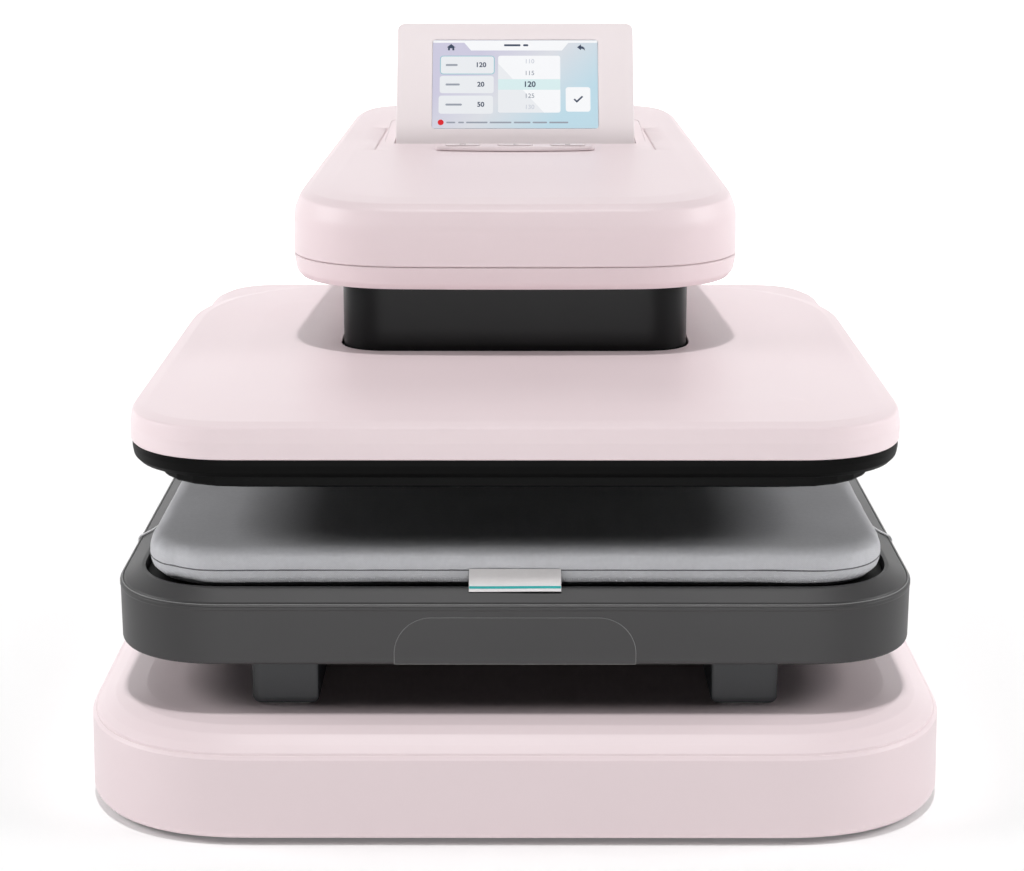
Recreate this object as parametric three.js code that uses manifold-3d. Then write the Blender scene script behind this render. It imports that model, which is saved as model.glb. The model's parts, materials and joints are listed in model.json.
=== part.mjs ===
// Automatic heat press with a pull-out lower tray. Millimetres, +Z up, the front faces -Y,
// and the origin is the middle of the footprint, on the surface that the feet stand on.
import * as THREE from 'three';
import { mergeVertices } from 'three/addons/utils/BufferGeometryUtils.js';
import Module from 'manifold-3d';

const wasm = await Module();
wasm.setup();

// Fits shared by every piece
const seatGap = 0.3;
const slideGap = 0.6;
const overrun = 2;
const leastCorner = 2.5;

// Counts and shares of the round forms
const cornerStepCount = 6;
const edgeStepCount = 6;
const rodSideCount = 16;
const footSideCount = 24;
const roundPowerShare = 2.3;
const quarterRoundShare = 0.3;

// Heat plate: the size of the press follows its side
const plateWidth = 381;
const plateCorner = 50;
const plateThick = 6;
const plateEdge = 1.2;
const pressOpening = 33;
const pressClear = 0.8;

// Base casing
const baseSideMargin = 17.9;
const baseFrontMargin = 33;
const baseTop = 59.2;
const baseCorner = 95;
const baseWall = 3;
const baseShoulderDrop = 7.6;
const baseShoulderRise = 5;
const baseShoulderInset = 7;
const baseCrownInset = 22;
const baseCrownShare = 0.42;
const baseEdgeInset = 2.6;
const baseEdgeDrop = 2.4;
const baseDraft = 1;
const basePlateThick = 2.5;

// Feet
const footHeight = 3;
const footRadius = 14;
const footInset = 52;

// Lower tray, which slides out to the front
const traySideMargin = 22.8;
const trayEndMargin = 21.5;
const trayCorner = 62;
const trayClear = 27;
const trayFaceHeight = 32.4;
const trayRimRise = 6.2;
const trayRimWidth = 14;
const trayRimShare = 0.22;
const trayEdgeRound = 3.4;
const trayWall = 4;
const trayFloor = 3;
const trayLedgeWidth = 9.5;
const trayLedgeDrop = 8.6;
const trayLedgeThick = 4;
const trayInnerWall = 3.5;
const trayRibThick = 3;

// Pull panel in the tray's front face
const pullWidth = 126;
const pullMargin = 6.1;
const pullCorner = 20;
const pullThick = 1.7;
const pullGap = 0.4;

// Lower platen and the pad on it
const platenThick = 4;
const platenGap = 0.7;
const padGap = 1.4;
const padSeamHeight = 11.4;
const padHeight = 22.4;
const padTuck = 4;
const padRoll = 1.4;
const padDrawIn = 1.3;
const padCrown = 0.9;
const padShoulder = 12;
// Loops of the pad's top: shares of the shoulder inwards and of the crown downwards
const padCrownShares = [[1, 1.3], [3, 0.6], [8, 0.15], [12, 0]];

// Tag sewn into the pad's front seam
const tagWidth = 48;
const tagThick = 0.9;
const tagDrop = 9.3;
const tagReach = 9;

// Elastics that hold the pad cover to the tray
const elasticRadius = 0.8;
const elasticClear = 0.45;
const elasticForward = 93;
const elasticTuck = 5;
const elasticSideCount = 8;
const elasticStepCount = 26;

// Runners and telescopic slides under the tray
const runnerSpacing = 241.5;
const runnerWidth = 35;
const runnerWall = 2.5;
const runnerClear = 1.4;
const runnerCorner = 4;
const runnerInset = 11;
const slideInset = 4;
const slideSideGap = 3.5;
const slideSheet = 1.5;
const slideHeadHeight = 4.5;
const slideWeb = 5;
const slideWebGap = 2;
const bearerWidth = 30;
const bearerSheet = 2;
const bearerInset = 45;

// Hood that carries the heat plate
const hoodSideMargin = 15.5;
const hoodFrontMargin = 9.5;
const hoodRearMargin = 24.5;
const hoodCorner = 62;
const hoodRearCorner = 46;
const hoodCrownRearCorner = 125;
const hoodRearRound = 18;
const hoodSideHeight = 17.4;
const hoodCrownRise = 2;
const hoodWall = 3;
const hoodEdgeRound = 6.5;
const hoodCrownInset = 48;
// Loops of the hood's top edge: shares of its round inwards and downwards
const hoodEdgeShares = [[0.16, 0.6], [0.45, 0.16]];

// Black skirt, and what lies above the heat plate
const skirtHeight = 10.7;
const skirtInset = 0.6;
const skirtTuck = 8;
const skirtLap = 6.5;
// Loops of the skirt's side: shares of its tuck inwards and of its height upwards
const skirtShares = [[1, 0], [0.45, 0.06], [0.15, 0.3]];
const skirtBandShare = 0.7;
const heaterMargin = 10.5;
const heaterThick = 1.2;
const insulationThick = 3;
const crossheadSideMargin = 30.5;
const crossheadEndMargin = 70.5;
const crossheadThick = 5;

// Telescoping column between hood and head
const columnBeamGap = 9.2;
const columnDepth = 118;
const columnForward = 26;
const columnShown = 37.8;
const columnCorner = 28;
const columnWall = 2.5;
const columnHoodGap = 1.3;
const columnTopGap = 0.7;
const collarGap = 0.9;
const collarLap = 17;
const collarFlange = 2.4;

// Head above the column
const headSideMargin = 30.7;
const headOverlap = 14;
const headOverhang = 42;
const headCorner = 66;
const headRearCorner = 48;
const headBow = 6;
const headTaperSetback = 70;
const headTaper = 18;
const headLowerHeight = 13.7;
const headUpperHeight = 33.1;
const headCrownRise = 3.4;
const headTopRise = 19.1;
const headCurl = 5;
const headWall = 3;
const headEdgeRound = 8;
const headCreaseShare = 0.65;
const headCrownInset = 40;

// Mast that joins base and head, and its covers
const mastWidth = 168;
const mastDepth = 66;
const mastFrontGap = 20;
const mastRearMargin = 47;
const mastSheet = 4;
const mastReturn = 16;
const mastHeadroom = 10.6;
const mastClear = 1.5;
const coverWidth = 232;
const coverFrontGap = 7;
const coverRearGap = 24;
const coverLap = 17;
const coverCorner = 40;
const coverEdge = 3;
const coverFrontCorner = 14;
const coverWall = 2.8;
const ventWidth = 84;
const ventHeight = 4;
const ventPitch = 10;
const ventRise = 99;
const ventCount = 8;

// Beam, guide bushes, rods and screw drive
const beamSetback = 8;
const beamLift = 19;
const beamSheet = 5;
const beamRib = 4;
const beamRibHeight = 11;
const beamFlangeDrop = 18;
const rodMotorGap = 10.5;
const rodEdgeMargin = 15;
const rodRadius = 6;
const rodProud = 6.5;
const bushWall = 4;
const bushFlange = 2.5;
const bushFlangeThick = 3;
const bushLength = 28;
const runningGap = 0.35;
const screwRadius = 7;
const nutWall = 4;
const nutDrop = 40;
const bearingHeight = 15;
const gearModule = 1.25;
const gearTeethCount = 45;
const pinionTeethCount = 15;
const gearThick = 8;
const gearLift = 2;
const gearBacklash = 0.45;
const gearTipShare = 0.9;
const gearRootShare = 1.2;
const toothTipShare = 0.45;
const toothRootShare = 1.45;
const motorRadius = 17.5;
const motorLength = 58;
const motorGap = 1;
const motorShaftRadius = 3;

// Screen, the well behind it and its hinge
const screenWidth = 157.5;
const screenLength = 92;
const screenThick = 11;
const screenCorner = 4;
const screenEdge = 1.1;
const screenHeel = 5;
const screenLeanDegrees = 30;
const glassWidth = 110;
const glassLength = 63.6;
const glassThick = 1.5;
const glassTopMargin = 12.2;
const glassRecess = 0.15;
const moduleDepth = 5.5;
const moduleRim = 4;
const pinRadius = 1.5;
const pinGap = 0.45;
const pinSink = 4;
const pinSetback = 11;
const pinInset = 2.3;
const wellSideGap = 1;
const wellEndGap = 4.4;
const wellFrontGap = 13.7;
const wellCorner = 14;
const wellSlot = 0.3;
const wellRimSide = 6.25;
const wellRimFront = 3.1;
const wellClear = 4;
const wellFloor = 2.5;
const wellLip = 5;
const wellLipThick = 2;
const wellLipDrop = 1.2;

// Slots in the head's top on both sides of the well
const sideSlotWidth = 1.8;
const sideSlotLength = 82;
const sideSlotLead = 18.9;
const sideSlotFrontGap = 4.9;
const sideSlotRearGap = 1.4;
const sideSlotStepCount = 6;

// Key bar in front of the screen
const barSetback = 169;
const barHeight = 2.6;
const barBow = 4;
const barCorner = 5;
const barEdge = 0.8;
const barEndMargin = 6.5;
const barRearMargin = 3.2;
const keyWidth = 22;
const keyDepth = 6.4;
const keyPitch = 34;
const keyThick = 2;
const keyProud = 0.5;
const keyGap = 0.4;
const keySetback = 5.6;
const keyCorner = 3;

// Mains inlet and power rocker on the back
const inletSideMargin = 54;
const inletRise = 37;
const inletFlange = 2.5;
const inletFlangeSide = 5;
const inletFlangeTop = 2;
const inletWallSide = 5.5;
const inletWallTop = 3;
const inletBack = 3;
const inletSocketWidth = 27;
const inletSocketTall = 18;
const inletSocketDepth = 16;
const inletPinWidth = 2;
const inletPinTall = 4;
const inletPinSink = 4;
const inletPinPitch = 7;
const bezelFlange = 2;
const bezelWall = 2;
const bezelBodyDepth = 14;
const rockerWidth = 12.6;
const rockerTall = 20;
const rockerThick = 7;
const rockerSideGap = 0.7;
const rockerEndGap = 1.5;
const rockerTiltDegrees = 7;

// Electronics on the base plate
const electronicsGap = 11.4;
const electronicsInset = 42;
const supplyDepth = 170;
const supplyHeight = 32;
const boardDepth = 90;
const boardThick = 1.6;
const boardLift = 8;
const boardSide = 8;
const boardSetback = 20;
const boardPostRadius = 3.5;
const boardBlockWidth = 26;
const boardBlockDepth = 34;
const boardBlockHeight = 16;

// Materials
function finish(color, roughness, metalness) {
  return new THREE.MeshStandardMaterial({ color, roughness, metalness });
}
const pinkPlastic = finish(0xeeddde, 0.42, 0);
const darkPlastic = finish(0x4b494a, 0.5, 0);
const blackPlastic = finish(0x1c1c1c, 0.45, 0);
const columnPlastic = finish(0x3a3d3e, 0.4, 0);
const padFabric = finish(0x8b8b90, 0.9, 0);
const tagFabric = finish(0xe6e4e4, 0.85, 0);
const elasticFabric = finish(0xd8d8d8, 0.8, 0);
const steel = finish(0xa8abae, 0.35, 1);
const platedSteel = finish(0xc6c8ca, 0.25, 1);
const coatedAluminium = finish(0x2a2724, 0.55, 0.4);
const brass = finish(0xb08d4a, 0.35, 1);
const rubber = finish(0x222222, 0.85, 0);
const heaterMica = finish(0xb79c66, 0.8, 0);
const insulationFelt = finish(0xe9e5dc, 0.95, 0);
const boardGreen = finish(0x1f5a3a, 0.6, 0);
const glass = finish(0xc9d3e2, 0.12, 0);
const keyPlastic = finish(0xf2e9ea, 0.4, 0);

// Places from front to rear: base margin, tray, gap, mast and base margin make up the depth.
const trayWidth = plateWidth + 2 * traySideMargin;
const trayDepth = plateWidth + 2 * trayEndMargin;
const baseWidth = trayWidth + 2 * baseSideMargin;
const baseDepth = baseFrontMargin + trayDepth + mastFrontGap + mastDepth + mastRearMargin;
const trayFront = baseFrontMargin - baseDepth / 2;
const trayRear = trayFront + trayDepth;
const trayMiddle = (trayFront + trayRear) / 2;
const plateFront = trayMiddle - plateWidth / 2;
const plateRear = trayMiddle + plateWidth / 2;
const hoodWidth = plateWidth + 2 * hoodSideMargin;
const hoodFront = plateFront - hoodFrontMargin;
const hoodRear = plateRear + hoodRearMargin;
const columnFront = trayMiddle - columnForward;
const columnRear = columnFront + columnDepth;
const driveY = columnFront + columnDepth / 2;
const mastFront = trayRear + mastFrontGap;
const mastRear = mastFront + mastDepth;
const coverFront = mastFront - coverFrontGap;
const coverRear = mastRear + coverRearGap;
const coverSplit = coverFront + coverLap;
const headFront = columnFront - headOverlap;
const headRear = mastRear + headOverhang;
const headTaperStart = headFront + headTaperSetback;
const beamFront = columnFront + beamSetback;
const barFront = headFront + barSetback;
const barDepth = keySetback + keyDepth + barRearMargin;
const wellFront = barFront + barDepth + wellFrontGap;
const wellLength = screenLength + wellEndGap + 2 * wellRimFront;
const wellRear = wellFront + wellLength;
const pinY = wellFront + pinSetback;
const electronicsRear = trayRear - electronicsInset;

// Heights, stacked from the floor up
const baseShoulderTop = baseTop - baseShoulderDrop;
const baseFaceTop = baseShoulderTop - baseShoulderRise;
const trayBottom = baseTop + trayClear;
const trayCrease = trayBottom + trayFaceHeight;
const trayRimTop = trayCrease + trayRimRise;
const trayRimEdge = trayCrease + trayRimRise * trayRimShare;
const trayLedgeTop = trayRimTop - trayLedgeDrop;
const pullTop = trayCrease - pullMargin;
const platenBottom = trayLedgeTop + seatGap;
const padBottom = platenBottom + platenThick + seatGap;
const padSeam = padBottom + padSeamHeight;
const padTop = padBottom + padHeight;
const plateBottom = padTop + pressOpening;
const plateTop = plateBottom + plateThick;
const skirtBottom = plateTop + seatGap;
const hoodBottom = skirtBottom + skirtHeight;
const hoodCrease = hoodBottom + hoodSideHeight;
const hoodTop = hoodCrease + hoodCrownRise;
const heaterBottom = plateTop + seatGap;
const insulationBottom = heaterBottom + heaterThick + seatGap;
const crossheadBottom = insulationBottom + insulationThick + seatGap;
const crossheadTop = crossheadBottom + crossheadThick;
const columnFoot = crossheadTop + seatGap;
const headBottom = hoodTop + columnShown;
const headSeam = headBottom + headLowerHeight;
const headCrease = headSeam + headUpperHeight;
const headTop = headCrease + headCrownRise;
const headSlope = headTopRise / (headRear - headFront);
const mastTop = headTop - mastHeadroom;
const beamBottom = headBottom + beamLift;
const gearBottom = beamBottom + beamSheet + gearLift;
const gearTop = gearBottom + gearThick;
const rodTop = gearTop + rodProud;
const nutBottom = beamBottom - nutDrop;
const wellDepth = pinSink + screenThick / 2 + wellClear;
const ventLowest = baseTop + ventRise;
const inletHeight = baseTop + inletRise;

// Widths and radii that follow from other pieces
const trayHalf = trayWidth / 2;
const inletX = coverWidth / 2 - inletSideMargin;
const runnerX = runnerSpacing / 2;
const padInset = trayRimWidth + padGap;
const collarDrop = pressOpening - pressClear + collarLap;
const slideSlot = slideWeb + 2 * slideWebGap;
const nutRadius = screwRadius + nutWall;
const bushRadius = rodRadius + bushWall;
const bushFlangeRadius = bushRadius + bushFlange;
const gearDistance = gearModule * (gearTeethCount + pinionTeethCount) / 2;
const bearingRadius = gearDistance - motorRadius - motorGap;
const rodX = gearDistance + motorRadius + rodMotorGap + bushFlangeRadius;
const beamHalf = rodX + rodEdgeMargin;
const columnHalf = beamHalf + columnBeamGap;
const headHalf = columnHalf + headSideMargin;
const wellPocketHalf = screenWidth / 2 + wellSideGap;
const wellHalf = wellPocketHalf + wellRimSide;
const barWidth = 2 * keyPitch + keyWidth + 2 * barEndMargin;
const supplyWidth = runnerX - bearerWidth / 2 - electronicsGap;
const boardWidth = supplyWidth - boardSide;
const inletBodyWidth = inletSocketWidth + 2 * inletWallSide;
const inletBodyTall = inletSocketTall + 2 * inletWallTop;
const inletWidth = inletBodyWidth + 2 * inletFlangeSide;
const inletTall = inletBodyTall + 2 * inletFlangeTop;
const inletBodyDepth = inletSocketDepth + inletBack;
const inletPinLength = inletSocketDepth - inletPinSink;
const bezelBoreWidth = rockerWidth + 2 * rockerSideGap;
const bezelBoreTall = rockerTall + 2 * rockerEndGap;
const bezelBodyWidth = bezelBoreWidth + 2 * bezelWall;
const bezelBodyTall = bezelBoreTall + 2 * bezelWall;

function headSurface(y) {
  return headTop + headSlope * (y - headFront);
}

// The outline of a casing seen from above: a rectangle whose corners are soft, not plain arcs.
function outline(plan, inset) {
  const half = plan.half - inset;
  const front = plan.front + inset;
  const rear = plan.rear - inset;
  const corners = [
    [1, -1, plan.frontCorner],
    [1, 1, plan.rearCorner],
    [-1, 1, plan.rearCorner],
    [-1, -1, plan.frontCorner],
  ];
  const points = [];
  corners.forEach(([sideX, sideY, size], index) => {
    const corner = Math.max(size - inset, leastCorner);
    const centreX = sideX * (half - corner);
    const centreY = sideY < 0 ? front + corner : rear - corner;
    const start = (index - 1) * Math.PI / 2;
    for (let step = 0; step <= cornerStepCount; step += 1) {
      const angle = start + step / cornerStepCount * Math.PI / 2;
      const along = Math.abs(Math.cos(angle)) ** (2 / roundPowerShare);
      const across = Math.abs(Math.sin(angle)) ** (2 / roundPowerShare);
      points.push(new THREE.Vector2(centreX + sideX * corner * along, centreY + sideY * corner * across));
    }
  });
  const full = plan.fineEdges ? fillEdges(points) : points;
  return plan.bend ? full.map((point) => plan.bend(point)) : full;
}

// Adds points along the four straight edges, so that they can bow.
function fillEdges(points) {
  const perCorner = cornerStepCount + 1;
  const filled = [];
  points.forEach((point, index) => {
    filled.push(point);
    if ((index + 1) % perCorner === 0) {
      const next = points[(index + 1) % points.length];
      for (let step = 1; step < edgeStepCount; step += 1) {
        filled.push(point.clone().lerp(next, step / edgeStepCount));
      }
    }
  });
  return filled;
}

// One closed loop of a lofted form, at a height that may rise towards the rear.
function ring(plan, inset, height, rise = 0) {
  return outline(plan, inset).map((p) => new THREE.Vector3(p.x, p.y, height + rise * (p.y - plan.front)));
}

// Skins a stack of loops, all with the same number of points, and closes both ends.
function loft(rings) {
  const count = rings[0].length;
  const positions = rings.flatMap((loop) => loop.flatMap((p) => [p.x, p.y, p.z]));
  const index = [];
  for (let level = 0; level + 1 < rings.length; level += 1) {
    for (let i = 0; i < count; i += 1) {
      const a = level * count + i;
      const b = level * count + (i + 1) % count;
      index.push(a, b, b + count, a, b + count, a + count);
    }
  }
  const bottomCap = rings[0].map((p) => new THREE.Vector2(p.x, p.y));
  THREE.ShapeUtils.triangulateShape(bottomCap, []).forEach(([a, b, c]) => index.push(a, c, b));
  const last = (rings.length - 1) * count;
  const topCap = rings[rings.length - 1].map((p) => new THREE.Vector2(p.x, p.y));
  THREE.ShapeUtils.triangulateShape(topCap, []).forEach(([a, b, c]) => {
    index.push(last + a, last + b, last + c);
  });
  const geometry = new THREE.BufferGeometry();
  geometry.setAttribute('position', new THREE.Float32BufferAttribute(positions, 3));
  geometry.setIndex(index);
  return solid(geometry);
}

function solid(geometry) {
  const bare = geometry.clone();
  bare.deleteAttribute('normal');
  bare.deleteAttribute('uv');
  const merged = mergeVertices(bare);
  const vertProperties = new Float32Array(merged.getAttribute('position').array);
  const triVerts = new Uint32Array(merged.getIndex().array);
  return new wasm.Manifold(new wasm.Mesh({ numProp: 3, vertProperties, triVerts }));
}

function geometryOf(body) {
  const mesh = body.getMesh();
  const geometry = new THREE.BufferGeometry();
  geometry.setAttribute('position', new THREE.Float32BufferAttribute(mesh.vertProperties, 3));
  geometry.setIndex(Array.from(mesh.triVerts));
  geometry.computeVertexNormals();
  return geometry;
}

function block(x0, x1, y0, y1, z0, z1) {
  const geometry = new THREE.BoxGeometry(x1 - x0, y1 - y0, z1 - z0);
  geometry.translate((x0 + x1) / 2, (y0 + y1) / 2, (z0 + z1) / 2);
  return solid(geometry);
}

function post(radius, z0, z1, x = 0, y = 0, sides = rodSideCount) {
  const geometry = new THREE.CylinderGeometry(radius, radius, z1 - z0, sides);
  geometry.rotateX(Math.PI / 2);
  geometry.translate(x, y, (z0 + z1) / 2);
  return solid(geometry);
}

function crossPin(radius, length, y, z) {
  const geometry = new THREE.CylinderGeometry(radius, radius, length, rodSideCount);
  geometry.rotateZ(Math.PI / 2);
  geometry.translate(0, y, z);
  return solid(geometry);
}

// A profile drawn across X and Z, drawn out along Y.
function profileAlongY(points, y0, y1) {
  const shape = new THREE.Shape(points.map(([x, z]) => new THREE.Vector2(x, z)));
  const geometry = new THREE.ExtrudeGeometry(shape, { depth: y1 - y0, bevelEnabled: false });
  geometry.rotateX(Math.PI / 2);
  geometry.translate(0, y1, 0);
  return solid(geometry);
}

// A profile drawn across X and Y, drawn out along Z.
function profileAlongZ(points, z0, z1) {
  const shape = new THREE.Shape(points.map(([x, y]) => new THREE.Vector2(x, y)));
  const geometry = new THREE.ExtrudeGeometry(shape, { depth: z1 - z0, bevelEnabled: false });
  geometry.translate(0, 0, z0);
  return solid(geometry);
}

const press = new THREE.Group();
press.name = 'automatic_heat_press';

function section(name) {
  const group = new THREE.Group();
  group.name = name;
  press.add(group);
  return group;
}

function place(group, name, body, material) {
  const mesh = new THREE.Mesh(geometryOf(body), material);
  mesh.name = name;
  group.add(mesh);
  return mesh;
}

// Base: an open-bottomed casing closed by a steel plate on rubber feet.
const basePlan = {
  half: baseWidth / 2,
  front: -baseDepth / 2,
  rear: baseDepth / 2,
  frontCorner: baseCorner,
  rearCorner: baseCorner,
};
const baseGroup = section('base');

function makeBaseShell() {
  const outer = loft([
    ring(basePlan, baseEdgeInset, footHeight),
    ring(basePlan, 0, footHeight + baseEdgeDrop),
    ring(basePlan, baseDraft, baseFaceTop),
    ring(basePlan, baseDraft + baseEdgeInset, (baseFaceTop * 2 + baseShoulderTop) / 3),
    ring(basePlan, baseShoulderInset, baseShoulderTop),
    ring(basePlan, baseCrownInset / 2, baseTop - baseShoulderDrop * baseCrownShare),
    ring(basePlan, baseCrownInset, baseTop),
  ]);
  const inner = loft([
    ring(basePlan, baseEdgeInset + baseWall, footHeight - overrun),
    ring(basePlan, baseDraft + baseWall, footHeight + baseWall + baseEdgeDrop),
    ring(basePlan, baseDraft + baseWall, baseFaceTop - baseWall),
    ring(basePlan, baseShoulderInset + baseWall, baseShoulderTop - baseWall),
    ring(basePlan, baseCrownInset, baseTop - baseWall),
  ]);
  const half = mastWidth / 2 + mastClear;
  const slot = block(
    -half,
    half,
    mastFront - mastClear,
    mastFront + mastDepth + mastClear,
    baseTop - baseWall - overrun,
    baseTop + overrun,
  );
  return outer.subtract(inner).subtract(slot);
}
place(baseGroup, 'base_shell', makeBaseShell(), pinkPlastic);

const basePlateInset = baseEdgeInset + baseWall + slideGap;
const basePlateBottom = footHeight + seatGap;
const basePlateTop = basePlateBottom + basePlateThick;
const basePlate = loft([
  ring(basePlan, basePlateInset, basePlateBottom),
  ring(basePlan, basePlateInset, basePlateTop),
]);
place(baseGroup, 'base_plate', basePlate, steel);

const footX = baseWidth / 2 - footInset;
const footY = baseDepth / 2 - footInset;
[['front', -1], ['rear', 1]].forEach(([end, sideY]) => {
  [['left', -1], ['right', 1]].forEach(([hand, sideX]) => {
    const foot = post(footRadius, 0, footHeight, 0, 0, footSideCount);
    place(baseGroup, `foot_${end}_${hand}`, foot, rubber).position.set(sideX * footX, sideY * footY, 0);
  });
});

// Steel bearers carry the rails through the casing's top down to the base plate.
function makeBearer() {
  const half = bearerWidth / 2;
  const bottom = basePlateTop + seatGap;
  const top = baseTop - baseWall - seatGap;
  return profileAlongY([
    [-half, bottom],
    [half, bottom],
    [half, bottom + bearerSheet],
    [bearerSheet - half, bottom + bearerSheet],
    [bearerSheet - half, top - bearerSheet],
    [half, top - bearerSheet],
    [half, top],
    [-half, top],
  ], trayFront + bearerInset, trayRear - bearerInset);
}
[['rail_bearer_left', -1], ['rail_bearer_right', 1]].forEach(([name, side]) => {
  place(baseGroup, name, makeBearer(), steel).position.x = side * runnerX;
});

// Mast: a steel channel, open to the rear, from the base plate up into the head.
const mastGroup = section('mast');
const mastHalf = mastWidth / 2;
const mastFrame = profileAlongZ([
  [-mastHalf, mastFront],
  [mastHalf, mastFront],
  [mastHalf, mastRear],
  [mastHalf - mastReturn, mastRear],
  [mastHalf - mastReturn, mastRear - mastSheet],
  [mastHalf - mastSheet, mastRear - mastSheet],
  [mastHalf - mastSheet, mastFront + mastSheet],
  [mastSheet - mastHalf, mastFront + mastSheet],
  [mastSheet - mastHalf, mastRear - mastSheet],
  [mastReturn - mastHalf, mastRear - mastSheet],
  [mastReturn - mastHalf, mastRear],
  [-mastHalf, mastRear],
], basePlateTop + seatGap, mastTop);
place(mastGroup, 'mast_frame', mastFrame, steel);

// The mast's cover is one tube in plan, split into a dark front and a pink rear.
const coverPlan = {
  half: coverWidth / 2,
  front: coverFront,
  rear: coverRear,
  frontCorner: coverFrontCorner,
  rearCorner: coverCorner,
};
const coverBottom = baseTop + seatGap;
const coverTop = headBottom - seatGap;

function coverTube() {
  const outer = loft([
    ring(coverPlan, 0, coverBottom),
    ring(coverPlan, 0, coverTop - coverEdge),
    ring(coverPlan, coverEdge * quarterRoundShare, coverTop - coverEdge * quarterRoundShare),
    ring(coverPlan, coverEdge, coverTop),
  ]);
  const inner = loft([
    ring(coverPlan, coverWall, coverBottom - overrun),
    ring(coverPlan, coverWall, coverTop - coverEdge - coverWall),
    ring(coverPlan, coverWall + coverEdge, coverTop - coverWall),
  ]);
  const mastHole = block(
    -mastHalf - mastClear,
    mastHalf + mastClear,
    mastFront - mastClear,
    mastRear + mastClear,
    coverTop - coverWall - overrun,
    coverTop + overrun,
  );
  return outer.subtract(inner).subtract(mastHole);
}

function coverHalf(y0, y1) {
  return block(-coverWidth, coverWidth, y0, y1, coverBottom - overrun, coverTop + overrun);
}

function makeRearCover() {
  let cover = coverTube().subtract(coverHalf(coverFront - overrun, coverSplit + seatGap));
  const inside = coverRear - coverWall - overrun;
  for (let i = 0; i < ventCount; i += 1) {
    const z = ventLowest + i * ventPitch;
    const vent = block(-ventWidth / 2, ventWidth / 2, inside, coverRear + overrun, z, z + ventHeight);
    cover = cover.subtract(vent);
  }
  const sockets = [
    [-1, inletBodyWidth, inletBodyTall],
    [1, bezelBodyWidth, bezelBodyTall],
  ];
  sockets.forEach(([side, wide, tall]) => {
    const x = side * inletX;
    const halfWide = wide / 2 + slideGap;
    const halfTall = tall / 2 + slideGap;
    cover = cover.subtract(block(
      x - halfWide,
      x + halfWide,
      inside,
      coverRear + overrun,
      inletHeight - halfTall,
      inletHeight + halfTall,
    ));
  });
  return cover;
}

const frontCover = coverTube().subtract(coverHalf(coverSplit, coverRear + overrun));
place(mastGroup, 'mast_cover_front', frontCover, blackPlastic);
place(mastGroup, 'mast_cover_rear', makeRearCover(), pinkPlastic);

// Mains inlet: a flanged socket with three flat pins.
function makeInlet() {
  const face = coverRear + seatGap;
  const flange = block(
    -inletWidth / 2,
    inletWidth / 2,
    face,
    face + inletFlange,
    -inletTall / 2,
    inletTall / 2,
  );
  const body = block(
    -inletBodyWidth / 2,
    inletBodyWidth / 2,
    face + inletFlange - inletBodyDepth,
    face + inletFlange,
    -inletBodyTall / 2,
    inletBodyTall / 2,
  );
  const socketFloor = face + inletFlange - inletSocketDepth;
  const socket = block(
    -inletSocketWidth / 2,
    inletSocketWidth / 2,
    socketFloor,
    face + inletFlange + overrun,
    -inletSocketTall / 2,
    inletSocketTall / 2,
  );
  let inlet = flange.add(body).subtract(socket);
  [[-1, -1], [0, 1], [1, -1]].forEach(([column, row]) => {
    const x = column * inletPinPitch;
    const z = row * inletPinTall / 2;
    inlet = inlet.add(block(
      x - inletPinWidth / 2,
      x + inletPinWidth / 2,
      socketFloor - inletPinWidth / 2,
      socketFloor + inletPinLength,
      z - inletPinTall / 2,
      z + inletPinTall / 2,
    ));
  });
  return inlet;
}
place(mastGroup, 'power_inlet', makeInlet(), blackPlastic).position.set(-inletX, 0, inletHeight);

// Power rocker: a bezel through the cover, and the tilting cap in it.
function makeBezel() {
  const face = coverRear + seatGap;
  const flangeHalf = bezelBodyWidth / 2 + bezelFlange;
  const flangeTop = bezelBodyTall / 2 + bezelFlange;
  const flange = block(-flangeHalf, flangeHalf, face, face + inletFlange, -flangeTop, flangeTop);
  const body = block(
    -bezelBodyWidth / 2,
    bezelBodyWidth / 2,
    face + inletFlange - bezelBodyDepth,
    face + inletFlange,
    -bezelBodyTall / 2,
    bezelBodyTall / 2,
  );
  const bore = block(
    -bezelBoreWidth / 2,
    bezelBoreWidth / 2,
    face + inletFlange - bezelBodyDepth + bezelWall,
    face + inletFlange + overrun,
    -bezelBoreTall / 2,
    bezelBoreTall / 2,
  );
  return flange.add(body).subtract(bore);
}
place(mastGroup, 'switch_bezel', makeBezel(), blackPlastic).position.set(inletX, 0, inletHeight);

const rockerPlan = {
  half: rockerWidth / 2,
  front: -rockerTall / 2,
  rear: rockerTall / 2,
  frontCorner: leastCorner,
  rearCorner: leastCorner,
};
const rocker = place(mastGroup, 'power_rocker', loft([
  ring(rockerPlan, 0, -rockerThick / 2),
  ring(rockerPlan, 0, rockerThick / 2),
]), blackPlastic);
rocker.position.set(inletX, coverRear + seatGap, inletHeight);
rocker.rotation.x = -Math.PI / 2 - THREE.MathUtils.degToRad(rockerTiltDegrees);

// Electronics on the base plate
const electronics = section('electronics');
const electronicsFloor = basePlateTop + seatGap;
const supply = block(
  -supplyWidth,
  0,
  electronicsRear - supplyDepth,
  electronicsRear,
  electronicsFloor,
  electronicsFloor + supplyHeight,
);
place(electronics, 'power_supply', supply, steel);

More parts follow.
